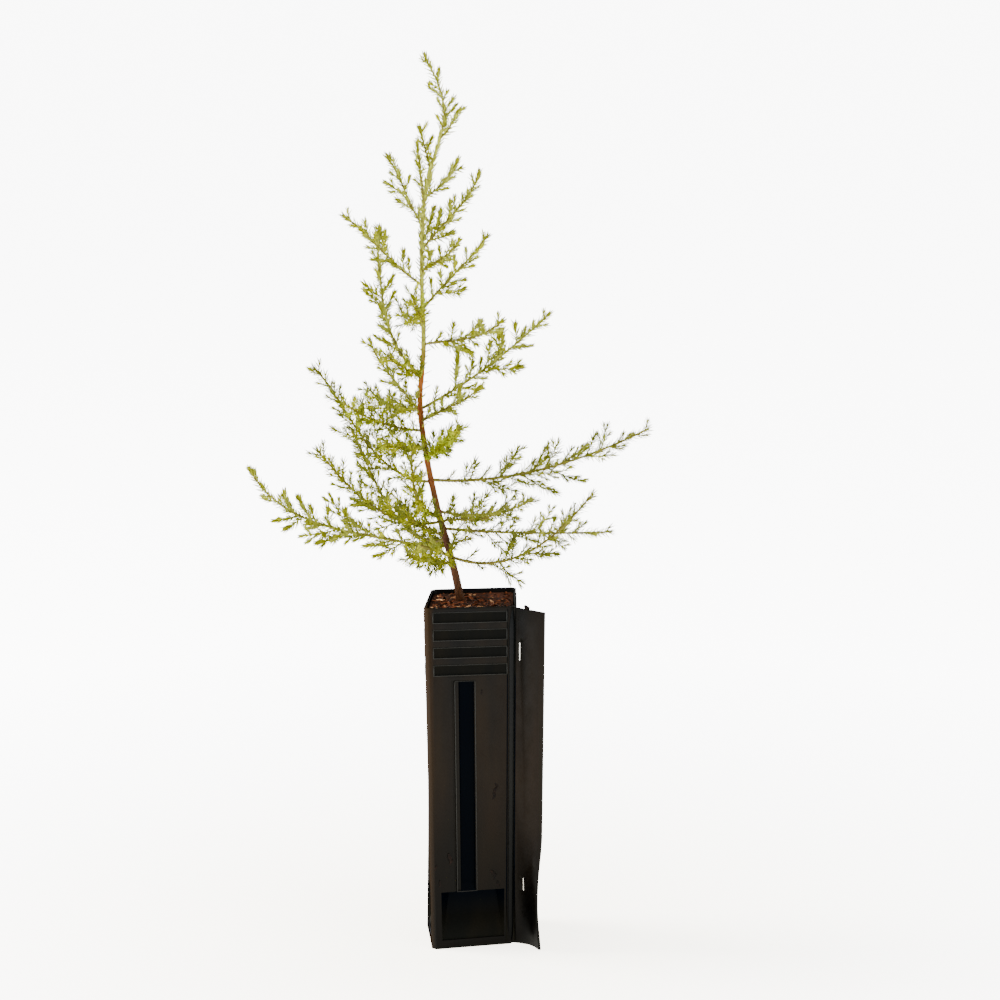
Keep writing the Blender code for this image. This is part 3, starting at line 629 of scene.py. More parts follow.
def take_unit(thing):
    """Triangulate a modelled object and take its mesh away as the pattern for copies."""
    with editing(thing):
        bpy.ops.mesh.quads_convert_to_tris()
        bpy.ops.mesh.normals_make_consistent(inside=False)
    unit = thing.data
    bpy.data.objects.remove(thing, do_unlink=True)
    return unit


TUBE_UNIT = 0.001


def tubes(name, paths, resolution, closed=False):
    """One mesh of round tubes. Each path is a list of (point, radius)."""
    curve = bpy.data.curves.new(name, "CURVE")
    curve.dimensions = "3D"
    curve.bevel_depth = TUBE_UNIT
    curve.bevel_resolution = resolution
    curve.use_fill_caps = True
    for path in paths:
        spline = curve.splines.new("POLY")
        spline.use_cyclic_u = closed
        spline.points.add(len(path) - 1)
        for control, (point, radius) in zip(spline.points, path):
            control.co = (*point, 1.0)
            control.radius = radius / TUBE_UNIT
    thing = bpy.data.objects.new(name, curve)
    bpy.context.scene.collection.objects.link(thing)
    pick(thing)
    bpy.ops.object.convert(target="MESH")
    thing = bpy.context.view_layer.objects.active
    with editing(thing):
        bpy.ops.mesh.remove_doubles(threshold=0.000001)
        bpy.ops.mesh.normals_make_consistent(inside=False)
    thing.name = name
    return thing


# --- Materials -------------------------------------------------------------------------------

GLOSS_FADE = (0.35, 0.80)
DULL = 0.05
WHITE = (1.0, 1.0, 1.0)
BLACK = (0.0, 0.0, 0.0)


def shade(color, factor):
    return tuple(channel * factor for channel in color)


class Finish:
    """A material under way: its node tree, its shader and the object's own coordinates."""

    def __init__(self, name, roughness, metallic=0.0):
        self.material = bpy.data.materials.new(name)
        self.material.use_nodes = True
        self.nodes = self.material.node_tree.nodes
        self.links = self.material.node_tree.links
        self.shader = self.nodes["Principled BSDF"]
        self.shader.inputs["Roughness"].default_value = roughness
        self.shader.inputs["Metallic"].default_value = metallic
        self.place = self.nodes.new("ShaderNodeTexCoord").outputs["Object"]

    def stretched(self, scale):
        mapping = self.nodes.new("ShaderNodeMapping")
        mapping.inputs["Scale"].default_value = scale
        self.links.new(self.place, mapping.inputs["Vector"])
        return mapping.outputs["Vector"]

    def noise(self, scale, detail=4.0, rough=0.55, stretch=(1, 1, 1)):
        texture = self.nodes.new("ShaderNodeTexNoise")
        texture.inputs["Scale"].default_value = scale
        texture.inputs["Detail"].default_value = detail
        texture.inputs["Roughness"].default_value = rough
        self.links.new(self.stretched(stretch), texture.inputs["Vector"])
        return texture.outputs["Fac"]

    def along_axis(self, axis):
        split = self.nodes.new("ShaderNodeSeparateXYZ")
        self.links.new(self.place, split.inputs["Vector"])
        return split.outputs[axis]

    def reach(self):
        """How far a point is from the foot of the pot."""
        length = self.nodes.new("ShaderNodeVectorMath")
        length.operation = "LENGTH"
        self.links.new(self.place, length.inputs[0])
        return length.outputs["Value"]

    def ramp(self, value, stops):
        ramp = self.nodes.new("ShaderNodeValToRGB")
        elements = ramp.color_ramp.elements
        while len(elements) < len(stops):
            elements.new(0.5)
        for element, (position, color) in zip(elements, stops):
            element.position = position
            element.color = (*color, 1.0) if len(color) == 3 else color
        self.links.new(value, ramp.inputs["Fac"])
        return ramp.outputs["Color"]

    def banded(self, axis, low, high, stops):
        """Colours dealt out along one of the object's axes, between two places on it."""
        return self.ramp(self.scaled(self.along_axis(axis), low, high), stops)

    def faded(self, axis, low, high, first, last):
        return self.banded(axis, low, high, ((0.0, first), (1.0, last)))

    def scaled(self, value, low, high, to_low=0.0, to_high=1.0):
        span = self.nodes.new("ShaderNodeMapRange")
        span.inputs["From Min"].default_value = low
        span.inputs["From Max"].default_value = high
        span.inputs["To Min"].default_value = to_low
        span.inputs["To Max"].default_value = to_high
        self.links.new(value, span.inputs["Value"])
        return span.outputs["Result"]

    def gloss(self, level):
        """A sheen that fades where the surface is seen edge-on."""
        facing = self.nodes.new("ShaderNodeLayerWeight").outputs["Facing"]
        self.feed("Specular IOR Level", self.scaled(facing, *GLOSS_FADE, level, 0.0))

    def mixed(self, share, first, second):
        mix = self.nodes.new("ShaderNodeMix")
        mix.data_type = "RGBA"
        self.links.new(share, mix.inputs["Factor"])
        for socket, color in ((mix.inputs["A"], first), (mix.inputs["B"], second)):
            if isinstance(color, tuple):
                socket.default_value = (*color, 1.0)
            else:
                self.links.new(color, socket)
        return mix.outputs["Result"]

    def multiplied(self, first, second):
        mix = self.nodes.new("ShaderNodeMix")
        mix.data_type = "RGBA"
        mix.blend_type = "MULTIPLY"
        mix.inputs["Factor"].default_value = 1.0
        self.links.new(first, mix.inputs["A"])
        self.links.new(second, mix.inputs["B"])
        return mix.outputs["Result"]

    def feed(self, socket, value):
        """Lead a value into one of the shader's sockets, or set it there."""
        if isinstance(value, float):
            self.shader.inputs[socket].default_value = value
        else:
            self.links.new(value, self.shader.inputs[socket])

    def color(self, value):
        self.feed("Base Color", value)

    def bump(self, value, strength, distance):
        bump = self.nodes.new("ShaderNodeBump")
        bump.inputs["Strength"].default_value = strength
        bump.inputs["Distance"].default_value = distance
        self.links.new(value, bump.inputs["Height"])
        old = self.shader.inputs["Normal"].links
        if old:
            self.links.new(old[0].from_socket, bump.inputs["Normal"])
        self.links.new(bump.outputs["Normal"], self.shader.inputs["Normal"])


DRAWN_DOWN = (1, 1, 0.3)


def recess_painted_shade(settings):
    """Painted shade for the sheet inside the pressings: blue-black and smooth, darkest where they
    are deepest.
    """
    finish = Finish("recess_painted_shade", 0.22)
    deep, dark = tuple(settings.plastic_pressing_shade), settings.plastic
    # Painted shade: darkest deep in the slots, lighter at the very foot, where the wedge's slope
    # faces up to the light, and lighter in the shallow label fields.
    by_height = finish.banded("Z", 0.0, POT_HEIGHT, (
        (0.03, shade(dark, 2.4)), (0.09, shade(dark, 0.9)), (0.15, deep), (0.79, deep),
        (0.81, shade(dark, 1.5))))
    patches = finish.ramp(finish.noise(70, 3, 0.6, DRAWN_DOWN),
                          ((0.4, (0.7, 0.8, 1.0)), (0.75, (1.3, 1.2, 1.1))))
    finish.color(finish.multiplied(by_height, patches))
    finish.bump(finish.noise(80, 2, 0.5, DRAWN_DOWN), 0.2, 0.0004)
    finish.gloss(0.004)
    return finish.material


def pot_plastic(name, dark, thin, gloss):
    """Thin black sheet, pressed while hot: brownish where it thins, with a soft uneven gloss.
    Painted light makes the left side, near the front, a brighter brown, and painted shade darkens
    the flange's fin towards its foot; the sheet is also darker towards the pot's foot, and darker
    and bluer at its rim.
    """
    finish = Finish(name, 0.3)
    streaks = finish.ramp(finish.noise(38, 3, 0.6, (1, 1, 0.16)), ((0.35, dark), (0.68, thin)))
    # Painted light: brown, left and front paint the left side, near the front, a brighter, warmer
    # brown, as where the light from the left falls on it.
    brown = tuple(c * factor for c, factor in zip(thin, (2.6, 2.0, 1.0)))
    left = finish.faded("X", -0.0262, -0.0205, WHITE, BLACK)
    front = finish.faded("Y", -0.018, -0.010, WHITE, BLACK)
    flange = finish.faded("X", 0.0262, 0.0295, BLACK, WHITE)
    # Painted shade: the flange's fin darkens towards its foot, as in the shadow of its fold.
    flange_foot_shade = finish.faded("Z", 0.028, 0.070, (0.22, 0.22, 0.26), WHITE)
    by_height = finish.banded("Z", 0.0, POT_HEIGHT, (
        (0.0, (0.15, 0.15, 0.18)), (0.22, (0.40, 0.40, 0.42)), (0.50, (1.0, 0.97, 0.94)),
        (0.74, (0.85, 0.85, 0.85)), (1.0, (0.55, 0.60, 0.66))))
    sheet = finish.multiplied(streaks, by_height)
    sheet = finish.mixed(flange, sheet, finish.multiplied(sheet, flange_foot_shade))
    finish.color(finish.mixed(finish.multiplied(left, front), sheet, brown))
    finish.feed("Roughness", finish.scaled(finish.noise(150, 5, 0.6), 0.3, 0.7, 0.26, 0.44))
    finish.bump(finish.noise(55, 2, 0.5, DRAWN_DOWN), 0.25, 0.0006)
    finish.bump(finish.noise(900, 3, 0.5), 0.08, 0.00008)
    finish.gloss(gloss)
    return finish.material


def peat_finish(settings):
    finish = Finish("peat_soil", 0.95)
    grain = finish.noise(420, 6, 0.65)
    finish.color(finish.ramp(grain, ((0.30, tuple(settings.peat_dark)),
                                     (0.62, tuple(settings.peat_red)),
                                     (0.80, tuple(settings.peat_pale)))))
    finish.bump(grain, 0.9, 0.0006)
    finish.feed("Specular IOR Level", DULL)
    return finish.material


def chip_finish(name, color, light):
    """Shredded bark: fibres along the chip, lighter on their ridges."""
    finish = Finish(name, 0.85)
    fibres = finish.noise(700, 4, 0.6, (1, 0.35, 1))
    finish.color(finish.ramp(fibres, ((0.34, color), (0.68, light))))
    finish.bump(fibres, 0.6, 0.0002)
    finish.feed("Specular IOR Level", DULL)
    return finish.material


def steel_finish():
    """Zinc-plated staple wire, with fine drawing marks and a few dull spots."""
    finish = Finish("staple_wire", 0.3, 1.0)
    spots = finish.noise(2600, 4, 0.6)
    finish.color(finish.ramp(spots, ((0.35, (0.20, 0.19, 0.17)), (0.6, (0.46, 0.44, 0.40)))))
    finish.feed("Roughness", finish.scaled(finish.noise(5200, 2, 0.5), 0.3, 0.7, 0.18, 0.42))
    finish.bump(spots, 0.15, 0.00002)
    return finish.material


def bark_finish(settings):
    """Orange-brown bark that turns yellow-green up the stem, darker in its furrows."""
    finish = Finish("cypress_bark", 0.72)
    low, mid, high = map(tuple, (settings.bark_low, settings.bark_mid, settings.bark_high))
    along_stem = finish.banded("Z", SOIL_TOP, SOIL_TOP + TRUNK_TOP, (
        (0.0, low), (0.12, low), (0.46, mid), (0.50, mid), (0.56, high), (1.0, high)))
    furrows = finish.noise(1500, 4, 0.6, (1, 1, 0.16))
    darkened = finish.ramp(furrows, ((0.36, (0.50, 0.44, 0.38)), (0.60, WHITE)))
    patches = finish.ramp(finish.noise(60, 3, 0.6, (1, 1, 0.4)),
                          ((0.30, (0.75, 0.72, 0.68)), (0.70, (1.15, 1.1, 1.0))))
    finish.color(finish.multiplied(finish.multiplied(along_stem, darkened), patches))
    finish.bump(furrows, 0.5, 0.00015)
    finish.gloss(0.08)
    return finish.material


def stem_finish(name, color, contrast):
    """Smooth young bark: one colour, lighter in patches."""
    finish = Finish(name, 0.6)
    patches = finish.noise(180, 4, 0.6)
    finish.color(finish.ramp(patches, ((0.35, tuple(color)), (0.7, shade(color, contrast)))))
    finish.bump(finish.noise(2400, 3, 0.5), 0.3, 0.0001)
    finish.gloss(0.08)
    return finish.material


def needle_finish(name, color):
    """Awl needles: one plain tint for each spray, a little uneven, with a waxy sheen."""
    finish = Finish(name, 0.55)
    patches = finish.noise(260, 3, 0.6)
    finish.color(finish.ramp(patches, ((0.32, shade(color, 0.64)), (0.70, shade(color, 1.30)))))
    finish.bump(finish.noise(1800, 2, 0.5), 0.2, 0.00008)
    finish.gloss(0.08)
    return finish.material


# --- What a user may change ------------------------------------------------------------------

def color_property(name, description, default):
    return bpy.props.FloatVectorProperty(name=name, description=description, default=default,
                                         subtype="COLOR", size=3, min=0.0, max=1.0)


def length_property(name, description, default):
    return bpy.props.FloatProperty(name=name, description=description, default=default,
                                   subtype="DISTANCE", unit="LENGTH", min=0.0, precision=5)


def number_property(name, description, default, least=0.0):
    return bpy.props.FloatProperty(name=name, description=description, default=default, min=least)


def angle_property(name, description, default):
    return bpy.props.FloatProperty(name=name, description=description,
                                   default=math.radians(default), subtype="ANGLE",
                                   unit="ROTATION")


class CypressPotSettings(bpy.types.PropertyGroup):
    edge_round: length_property("Edge rounding", "How far the pot's pressed edges are rounded",
                                0.0004)
    plastic: color_property("Plastic", "Colour of the black sheet where it is thick",
                            (0.0014, 0.0013, 0.0009))
    plastic_thin: color_property("Thin plastic", "Colour of the sheet where pressing thinned it",
                                 (0.0047, 0.0028, 0.0011))
    # Painted shade: the blue-black of the sheet deep in its pressings.
    plastic_pressing_shade: color_property("Pressing shade", "Colour of the sheet deep in its pressings",
                                 (0.0001, 0.0004, 0.0009))
    peat_dark: color_property("Dark peat", "Colour of the damp peat", (0.007, 0.0032, 0.0018))
    peat_red: color_property("Red peat", "Colour of the bark dust in the peat",
                             (0.040, 0.012, 0.005))
    peat_pale: color_property("Pale peat", "Colour of the dry fibres in the peat",
                              (0.16, 0.08, 0.035))
    chip_length: length_property("Chip length", "Length of the largest bark chips", 0.0060)
    chip_count: bpy.props.IntProperty(name="Chips", description="How many bark chips lie on top",
                                      default=420, min=0)


class CypressStemSettings(bpy.types.PropertyGroup):
    relief: length_property("Bark relief", "How far the bark's ridges stand out", 0.00010)
    bark: length_property("Bark thickness", "How thick the bark lies on the trunk", 0.00018)
    collar: length_property("Branch collar", "How far the trunk swells where a bough leaves it",
                            0.00016)
    bark_low: color_property("Bark at the foot", "Colour of the oldest bark",
                             (0.032, 0.011, 0.002))
    bark_mid: color_property("Bark", "Colour of the bark on the middle of the trunk",
                             (0.138, 0.041, 0.004))
    bark_high: color_property("Green bark", "Colour of the young bark near the top",
                              (0.158, 0.166, 0.022))
    twig_brown: color_property("Bough bark", "Colour of the boughs' bark", (0.052, 0.042, 0.007))
    twig_green: color_property("Shoots", "Colour of the green shoots", (0.058, 0.062, 0.007))


class CypressNeedleSettings(bpy.types.PropertyGroup):
    length: length_property("Needle length", "Length of a full-grown needle", 0.0050)
    width: length_property("Needle width", "Width of a needle at its widest", 0.00064)
    pitch: length_property("Whorl spacing", "Distance between whorls of needles", 0.00125)
    splay: angle_property("Splay", "How far needles stand away from their shoot", 42)
    trunk_length: length_property("Trunk needles", "Length of the old needles on the trunk",
                                  0.0070)
    olive: color_property("Olive", "Needles of the upper boughs", (0.166, 0.176, 0.020))
    yellow: color_property("Yellow-green", "Needles of the inner boughs", (0.186, 0.190, 0.003))
    green: color_property("Green", "Needles of the full lower boughs",
                          (0.116, 0.120, 0.003))
    bright: color_property("Bright green", "Needles of the young tuft", (0.190, 0.222, 0.003))
    grey: color_property("Grey-green", "Needles of the lower boughs on the right",
                         (0.104, 0.107, 0.011))
    tip: color_property("Tips", "Close needles at the ends of shoots", (0.080, 0.089, 0.007))


class CypressStageSettings(bpy.types.PropertyGroup):
    floor: color_property("Floor", "Colour of the floor and backdrop", (0.94, 0.94, 0.94))
    floor_near: color_property("Floor by the pot", "Warmer colour of the floor by the pot",
                               (0.94, 0.90, 0.80))
    glow_near: number_property("Glow by the pot", "How brightly the floor by the pot is lit", 4.2)
    glow_far: number_property("Glow behind", "How brightly the backdrop is lit", 7.6)
    room_light: number_property("Room light", "Brightness of the white room around", 1.6)
    camera_distance: length_property("Camera distance", "Level distance to the camera", 1.867)
    camera_height: length_property("Camera height", "Height of the camera above the floor",
                                   0.6135)
    camera_side: length_property("Camera side", "How far the camera stands to the right", 0.017)
    camera_turn: angle_property("Camera heading", "Which way round the pot the camera stands",
                                -2.4)
    camera_pitch: angle_property("Camera pitch", "How far the camera looks down", 10.95)
    lens: number_property("Lens", "Focal length, in millimetres", 122.8, 1.0)


# --- The pot and what fills it ---------------------------------------------------------------

PRESSED_DEEPEST = 0.009
PRESSED_FOOT = 0.004
LABEL_SHALLOWEST = 0.0004
RIB_SHALLOWEST = 0.0009
INWARD_SLACK = 0.0002
LEVEL_FACE = 0.97


def is_pressed(face):
    """Whether a face of the pot lies in one of the pressings in its sides."""
    step = 0.0005
    middle = straighten(face.center)
    tip = straighten(Vector(face.center) + Vector(face.normal) * step)
    flat = (abs(middle.x), abs(middle.y))
    long_way = 0 if flat[0] > flat[1] else 1
    depth = pot_half(middle.z) - flat[long_way]
    outward = (tip[long_way] - middle[long_way]) * math.copysign(1, middle[long_way])
    shallowest = LABEL_SHALLOWEST if middle.z > RIB_TOP + 0.001 else RIB_SHALLOWEST
    return (shallowest < depth < PRESSED_DEEPEST and min(flat) < PRESSED_HALF
            and PRESSED_FOOT < middle.z < LABEL_TOP + LABEL_SHALLOWEST
            and outward > -INWARD_SLACK and abs(face.normal.z) < LEVEL_FACE)


LABEL_RIM = 0.00036
RIB_RIM = 0.00028
RIM_STEP = 0.003
SEAM_STEPS = 40
BEAD_RADIUS = 0.0019
BEAD_INSET = 0.0023
CREASE_INSET = 0.0047


def side_rims(side):
    """The thin ridges round the label fields and the long rib of one side, as closed paths."""
    edges = [(-LABEL_HALF_WIDTH, LABEL_HALF_WIDTH, LABEL_TOP - row * LABEL_PITCH - LABEL_HEIGHT,
              LABEL_TOP - row * LABEL_PITCH, LABEL_RIM) for row in range(LABEL_COUNT)]
    edges.append((*RIB_FRAME, WEDGE_TOP, RIB_TOP, RIB_RIM))
    for left, right, low, high, radius in edges:
        count = max(2, round((high - low) / RIM_STEP))
        climb = [blend(low, high, step / count) for step in range(count + 1)]
        yield ([(on_side(side, right, height), radius) for height in climb]
               + [(on_side(side, left, height), radius) for height in reversed(climb)])


def seam_heights(foot, rim):
    return [blend(foot, POT_HEIGHT - rim, step / SEAM_STEPS) for step in range(SEAM_STEPS + 1)]


def seam_bead():
    """The rounded bead of folded sheet down the seam's corner, thinner at its two ends."""
    path = []
    for step, height in enumerate(seam_heights(0.0012, 0.0010)):
        fade = min(1.0, min(step, SEAM_STEPS - step) / 3 + 0.35)
        half = pot_half(height)
        spot = settle((half - BEAD_INSET, -half + 0.0006 * (2 - fade), height))
        path.append((spot, BEAD_RADIUS * fade))
    return path


def crease_shadow_tubes():
    """Dark tubes of painted shade along the two folds that the bead makes: with the front, and
    with the seam's fin.
    """
    front, fin = [], []
    for height in seam_heights(0.0015, 0.0012):
        half = pot_half(height)
        front.append((settle((half - CREASE_INSET, -half + 0.0002, height)), 0.00050))
        heading = blend(*FLANGE_HEADINGS, height / POT_HEIGHT)
        outward = Vector((math.cos(heading), math.sin(heading), 0))
        across = Vector((-outward.y, outward.x, 0))
        root = Vector((half - FLANGE_ROOT_INSET, FLANGE_ROOT_INSET - half, height))
        fin.append((settle(root + outward * 0.0020 - across * 0.0006), 0.00048))
    return [front, fin]


EDGE_ANGLE = math.radians(24)
FLAT_ANGLE = math.radians(1.6)
SHEET_GLOSS = 0.024
RIM_GLOSS = 0.09
BEAD_COLORS = ((0.0014, 0.0018, 0.0020), (0.0028, 0.0028, 0.0024))


class CYPRESS_OT_pot(bpy.types.Operator):
    """Round the pot's edges, raise its rims and bead, lay dark tubes of painted shade along the
    bead's two folds, and give the sheet its gloss
    """
    bl_idname = "cypress.pot"
    bl_label = "Finish the Pot"

    def execute(self, context):
        settings = context.scene.cypress_pot
        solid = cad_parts["pot"]
        sleeve = bpy.data.objects.new("pot_sleeve", solid.data.copy())
        context.scene.collection.objects.link(sleeve)
        with editing(sleeve):
            bpy.ops.mesh.remove_doubles(threshold=0.000005)
            bpy.ops.mesh.customdata_custom_splitnormals_clear()
            bpy.ops.mesh.dissolve_limited(angle_limit=FLAT_ANGLE)
        rounding = sleeve.modifiers.new("rounded_edges", "BEVEL")
        rounding.width = settings.edge_round
        rounding.segments = 2
        rounding.limit_method = "ANGLE"
        rounding.angle_limit = EDGE_ANGLE
        rounding.use_clamp_overlap = True
        apply_modifier(sleeve, rounding)
        sheet = pot_plastic("pot_plastic", tuple(settings.plastic), tuple(settings.plastic_thin),
                            SHEET_GLOSS)
        dress(sleeve, 32, sheet, "pot_plastic", "pot")
        recess_shade = recess_painted_shade(settings)
        sleeve.data.materials.append(recess_shade)
        # Painted shade: the faces in the pressings take the dark blue-black material.
        for face in sleeve.data.polygons:
            if is_pressed(face):
                face.material_index = 1

        rims = tubes("pressing_rims", [rim for side in range(SIDES) for rim in side_rims(side)],
                     2, closed=True)
        bead = tubes("seam_bead", [seam_bead()], 4)
        # Painted shade: dark tubes along the bead's two folds, in the same blue-black as the
        # pressings.
        crease_shadows = tubes("crease_shadow_tubes", crease_shadow_tubes(), 1)
        # Painted highlight: the raised rims take the plastic made 2.8 times lighter, as where they
        # catch the light.
        ridge = shade(settings.plastic, 2.8)
        for thing, material in (
                (rims, pot_plastic("rim_painted_highlight", ridge, ridge, RIM_GLOSS)),
                (bead, pot_plastic("bead_plastic", *BEAD_COLORS, SHEET_GLOSS)),
                (crease_shadows, recess_shade)):
            dress(thing, 60, material, "pot_plastic")
        return {"FINISHED"}


CHIP_WIDTH = 0.36
CHIP_STATIONS = (-0.2, 0.2)
CHIP_TAPER = 0.45
CHIP_ARCH = 0.12
CHIP_RUFFLE = (0.05, 0.03)


def bark_chip(name, seed, thickness):
    """One shred of bark, about a unit long: a block drawn out, tapered and bent."""
    deselect_all()
    bpy.ops.mesh.primitive_cube_add(size=1)
    chip = bpy.context.view_layer.objects.active
    chip.name = name
    with editing(chip):
        bpy.ops.transform.resize(value=(1.0, CHIP_WIDTH, thickness))
        for station in CHIP_STATIONS:
            bpy.ops.mesh.select_all(action="SELECT")
            bpy.ops.mesh.bisect(plane_co=(station, 0, 0), plane_no=(1, 0, 0.3))
    rng = random.Random(seed)
    across, up = CHIP_RUFFLE
    for vert in chip.data.vertices:
        taper = blend(1.0, CHIP_TAPER, abs(vert.co.x) * 2)
        vert.co.y = vert.co.y * taper + rng.uniform(-across, across)
        arch = CHIP_ARCH * vert.co.x * vert.co.x
        vert.co.z = vert.co.z * taper + arch + rng.uniform(-up, up)
    return take_unit(chip)


def soil_height(x, y):
    """How high the lumpy soil stands at a place on the straight pot: highest at the front."""
    lumps = noise.noise(Vector((x * 160, y * 160, 3.1))) * 0.0007
    hills = noise.noise(Vector((x * 45, y * 45, 8.2))) * 0.0009
    front = -y / pot_half(SOIL_TOP) * 0.0006
    return SOIL_TOP + 0.0002 + lumps + hills + front


CRUST_CELLS = 72
CRUST_DEPTH = 0.0030
CRUST_EDGE = 0.94
CRUST_SINK = 0.0012
CHIP_LEAST = 0.0012
CHIP_SPREAD = 0.94
CHIP_WALL = 0.985
CHIP_SIZES = (0.22, 1.0)
CHIP_MANY_SMALL = 1.4
CHIP_LIFT = 0.03
CHIP_TIP = 0.28
CHIP_ROLL = 0.5

# Each kind of chip: its share of them all, its colour, and the colour of its ridges.
ChipKind = namedtuple("ChipKind", "share color light")
CHIP_KINDS = {
    "bark_chips_red": ChipKind(0.42, (0.036, 0.009, 0.003), (0.120, 0.034, 0.012)),
    "bark_chips_dark": ChipKind(0.49, (0.005, 0.0025, 0.0016), (0.026, 0.010, 0.005)),
    "bark_chips_pale": ChipKind(0.09, (0.11, 0.045, 0.018), (0.42, 0.22, 0.11)),
}


def soil_crust(half):
    """The lumpy top of the soil, sunk at the walls of the pot."""
    deselect_all()
    bpy.ops.mesh.primitive_grid_add(x_subdivisions=CRUST_CELLS, y_subdivisions=CRUST_CELLS,
                                    size=half * 2)
    crust = bpy.context.view_layer.objects.active
    crust.name = "soil_crust"
    for vert in crust.data.vertices:
        edge = max(abs(vert.co.x), abs(vert.co.y)) / half
        sunk = CRUST_SINK * max(0.0, (edge - CRUST_EDGE) / (1 - CRUST_EDGE))
        vert.co = settle((vert.co.x, vert.co.y, soil_height(vert.co.x, vert.co.y) - sunk))
    thickness = crust.modifiers.new("crust_depth", "SOLIDIFY")
    thickness.thickness = CRUST_DEPTH
    thickness.offset = -1
    apply_modifier(crust, thickness)
    return crust


def chip_places(settings, half, rng):
    """Where the chips of each kind lie, small ones the most, and none through the walls."""
    chips = {name: [] for name in CHIP_KINDS}
    shares = [kind.share for kind in CHIP_KINDS.values()]
    for _ in range(settings.chip_count):
        x, y = (rng.uniform(-half, half) * CHIP_SPREAD for _ in range(2))
        length = settings.chip_length * rng.uniform(*CHIP_SIZES) ** CHIP_MANY_SMALL
        spot = settle((x, y, soil_height(x, y) + length * CHIP_LIFT))
        length = min(length, (half * CHIP_WALL - max(abs(x), abs(y))) * 2)
        if length < CHIP_LEAST:
            continue
        turn = Matrix.Rotation(rng.uniform(0, math.tau), 4, "Z")
        tip = Matrix.Rotation(rng.gauss(0, CHIP_TIP), 4, "Y")
        tip = tip @ Matrix.Rotation(rng.gauss(0, CHIP_ROLL), 4, "X")
        kind = rng.choices(tuple(chips), shares)[0]
        chips[kind].append(Matrix.Translation(spot) @ turn @ tip @ Matrix.Scale(length, 4))
    return chips


class CYPRESS_OT_soil(bpy.types.Operator):
    """Lay a lumpy crust of peat on the root ball, with bark chips over it"""
    bl_idname = "cypress.soil"
    bl_label = "Lay the Soil"

    def execute(self, context):
        settings = context.scene.cypress_pot
        peat = peat_finish(settings)
        wear(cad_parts["substrate"], peat)
        half = pot_half(SOIL_TOP, POT_WALL + 0.0005)
        dress(soil_crust(half), 50, peat, "peat")
        chips = chip_places(settings, half, random.Random(5))
        for seed, (name, places) in enumerate(chips.items()):
            heap = joined_copies(name, bark_chip("chip", seed, 0.16), places)
            wear(heap, chip_finish(name, *CHIP_KINDS[name][1:]))
            belong(heap, "peat")
        return {"FINISHED"}


# Where peat has dried on the pot's front: across it, up it, and how long the mark is.
Speck = namedtuple("Speck", "across height length")
SPECKS = tuple(Speck(*row) for row in (
    (0.0129, 0.0905, 0.0050), (0.0137, 0.0940, 0.0030), (0.0125, 0.0872, 0.0036),
    (-0.0128, 0.0530, 0.0056), (-0.0120, 0.0505, 0.0034),
    (-0.0208, 0.0476, 0.0034), (0.0115, 0.0426, 0.0050), (0.0126, 0.0402, 0.0036),
    (0.0144, 0.0359, 0.0040), (-0.0187, 0.0382, 0.0038), (0.0060, 0.1480, 0.0028),
))
SPECK_PROUD = 0.00005
SPECK_ROLLS = (0.9, 2.3)
CRUMB_PLACE = (0.0055, -0.0055, 0.0004)
CRUMB_SIZE = (0.0034, 0.0040, 0.0052)


class CYPRESS_OT_specks(bpy.types.Operator):
    """Dry a few crumbs of peat on the pot's front and one on top of its seam"""
    bl_idname = "cypress.specks"
    bl_label = "Dry Peat on the Pot"

    def execute(self, context):
        rng = random.Random(8)
        places = []
        for speck in SPECKS:
            spot = on_side(0, speck.across, speck.height, SPECK_PROUD)
            out = (on_side(0, speck.across, speck.height, 0.001) - spot).normalized()
            roll = rng.uniform(*SPECK_ROLLS)
            level = Vector((-out.y, out.x, 0)).normalized()
            along_it = level * math.cos(roll) + Vector((0, 0, 1)) * math.sin(roll)
            places.append(needle_place(spot, out, along_it, speck.length * 0.5, speck.length))
        root = Vector((pot_half(POT_HEIGHT), -pot_half(POT_HEIGHT), POT_HEIGHT))
        crumb = settle(root + Vector(CRUMB_PLACE))
        places.append(Matrix.Translation(crumb) @ Matrix.Rotation(0.6, 4, "Y")
                      @ Matrix.Diagonal((*CRUMB_SIZE, 1.0)))
        heap = joined_copies("pot_specks", bark_chip("speck", 4, 0.5), places)
        wear(heap, chip_finish("dried_peat", (0.0006, 0.0005, 0.0005), (0.0040, 0.0020, 0.0012)))
        belong(heap, "peat")
        return {"FINISHED"}


class CYPRESS_OT_staples(bpy.types.Operator):
    """Give the two seam staples their plated wire"""
    bl_idname = "cypress.staples"
    bl_label = "Finish the Staples"

    def execute(self, context):
        steel = steel_finish()
        for name in ("staple_upper", "staple_lower"):
            wear(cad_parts[name], steel)
        return {"FINISHED"}


# --- Bark and stems --------------------------------------------------------------------------

TRUNK_RINGS = 430
LIMB_OVERLAP = 0.0015
LIMB_STEP = 0.0008
LIMB_BARK = 1.04
COLLAR_HEIGHT = 0.0012

# How fine the bark's ridges and its flakes are, across the stem and along it.
RIDGES = (1500, 220)
FLAKES = (3200, 700)
FLAKE_SHARE = 0.4


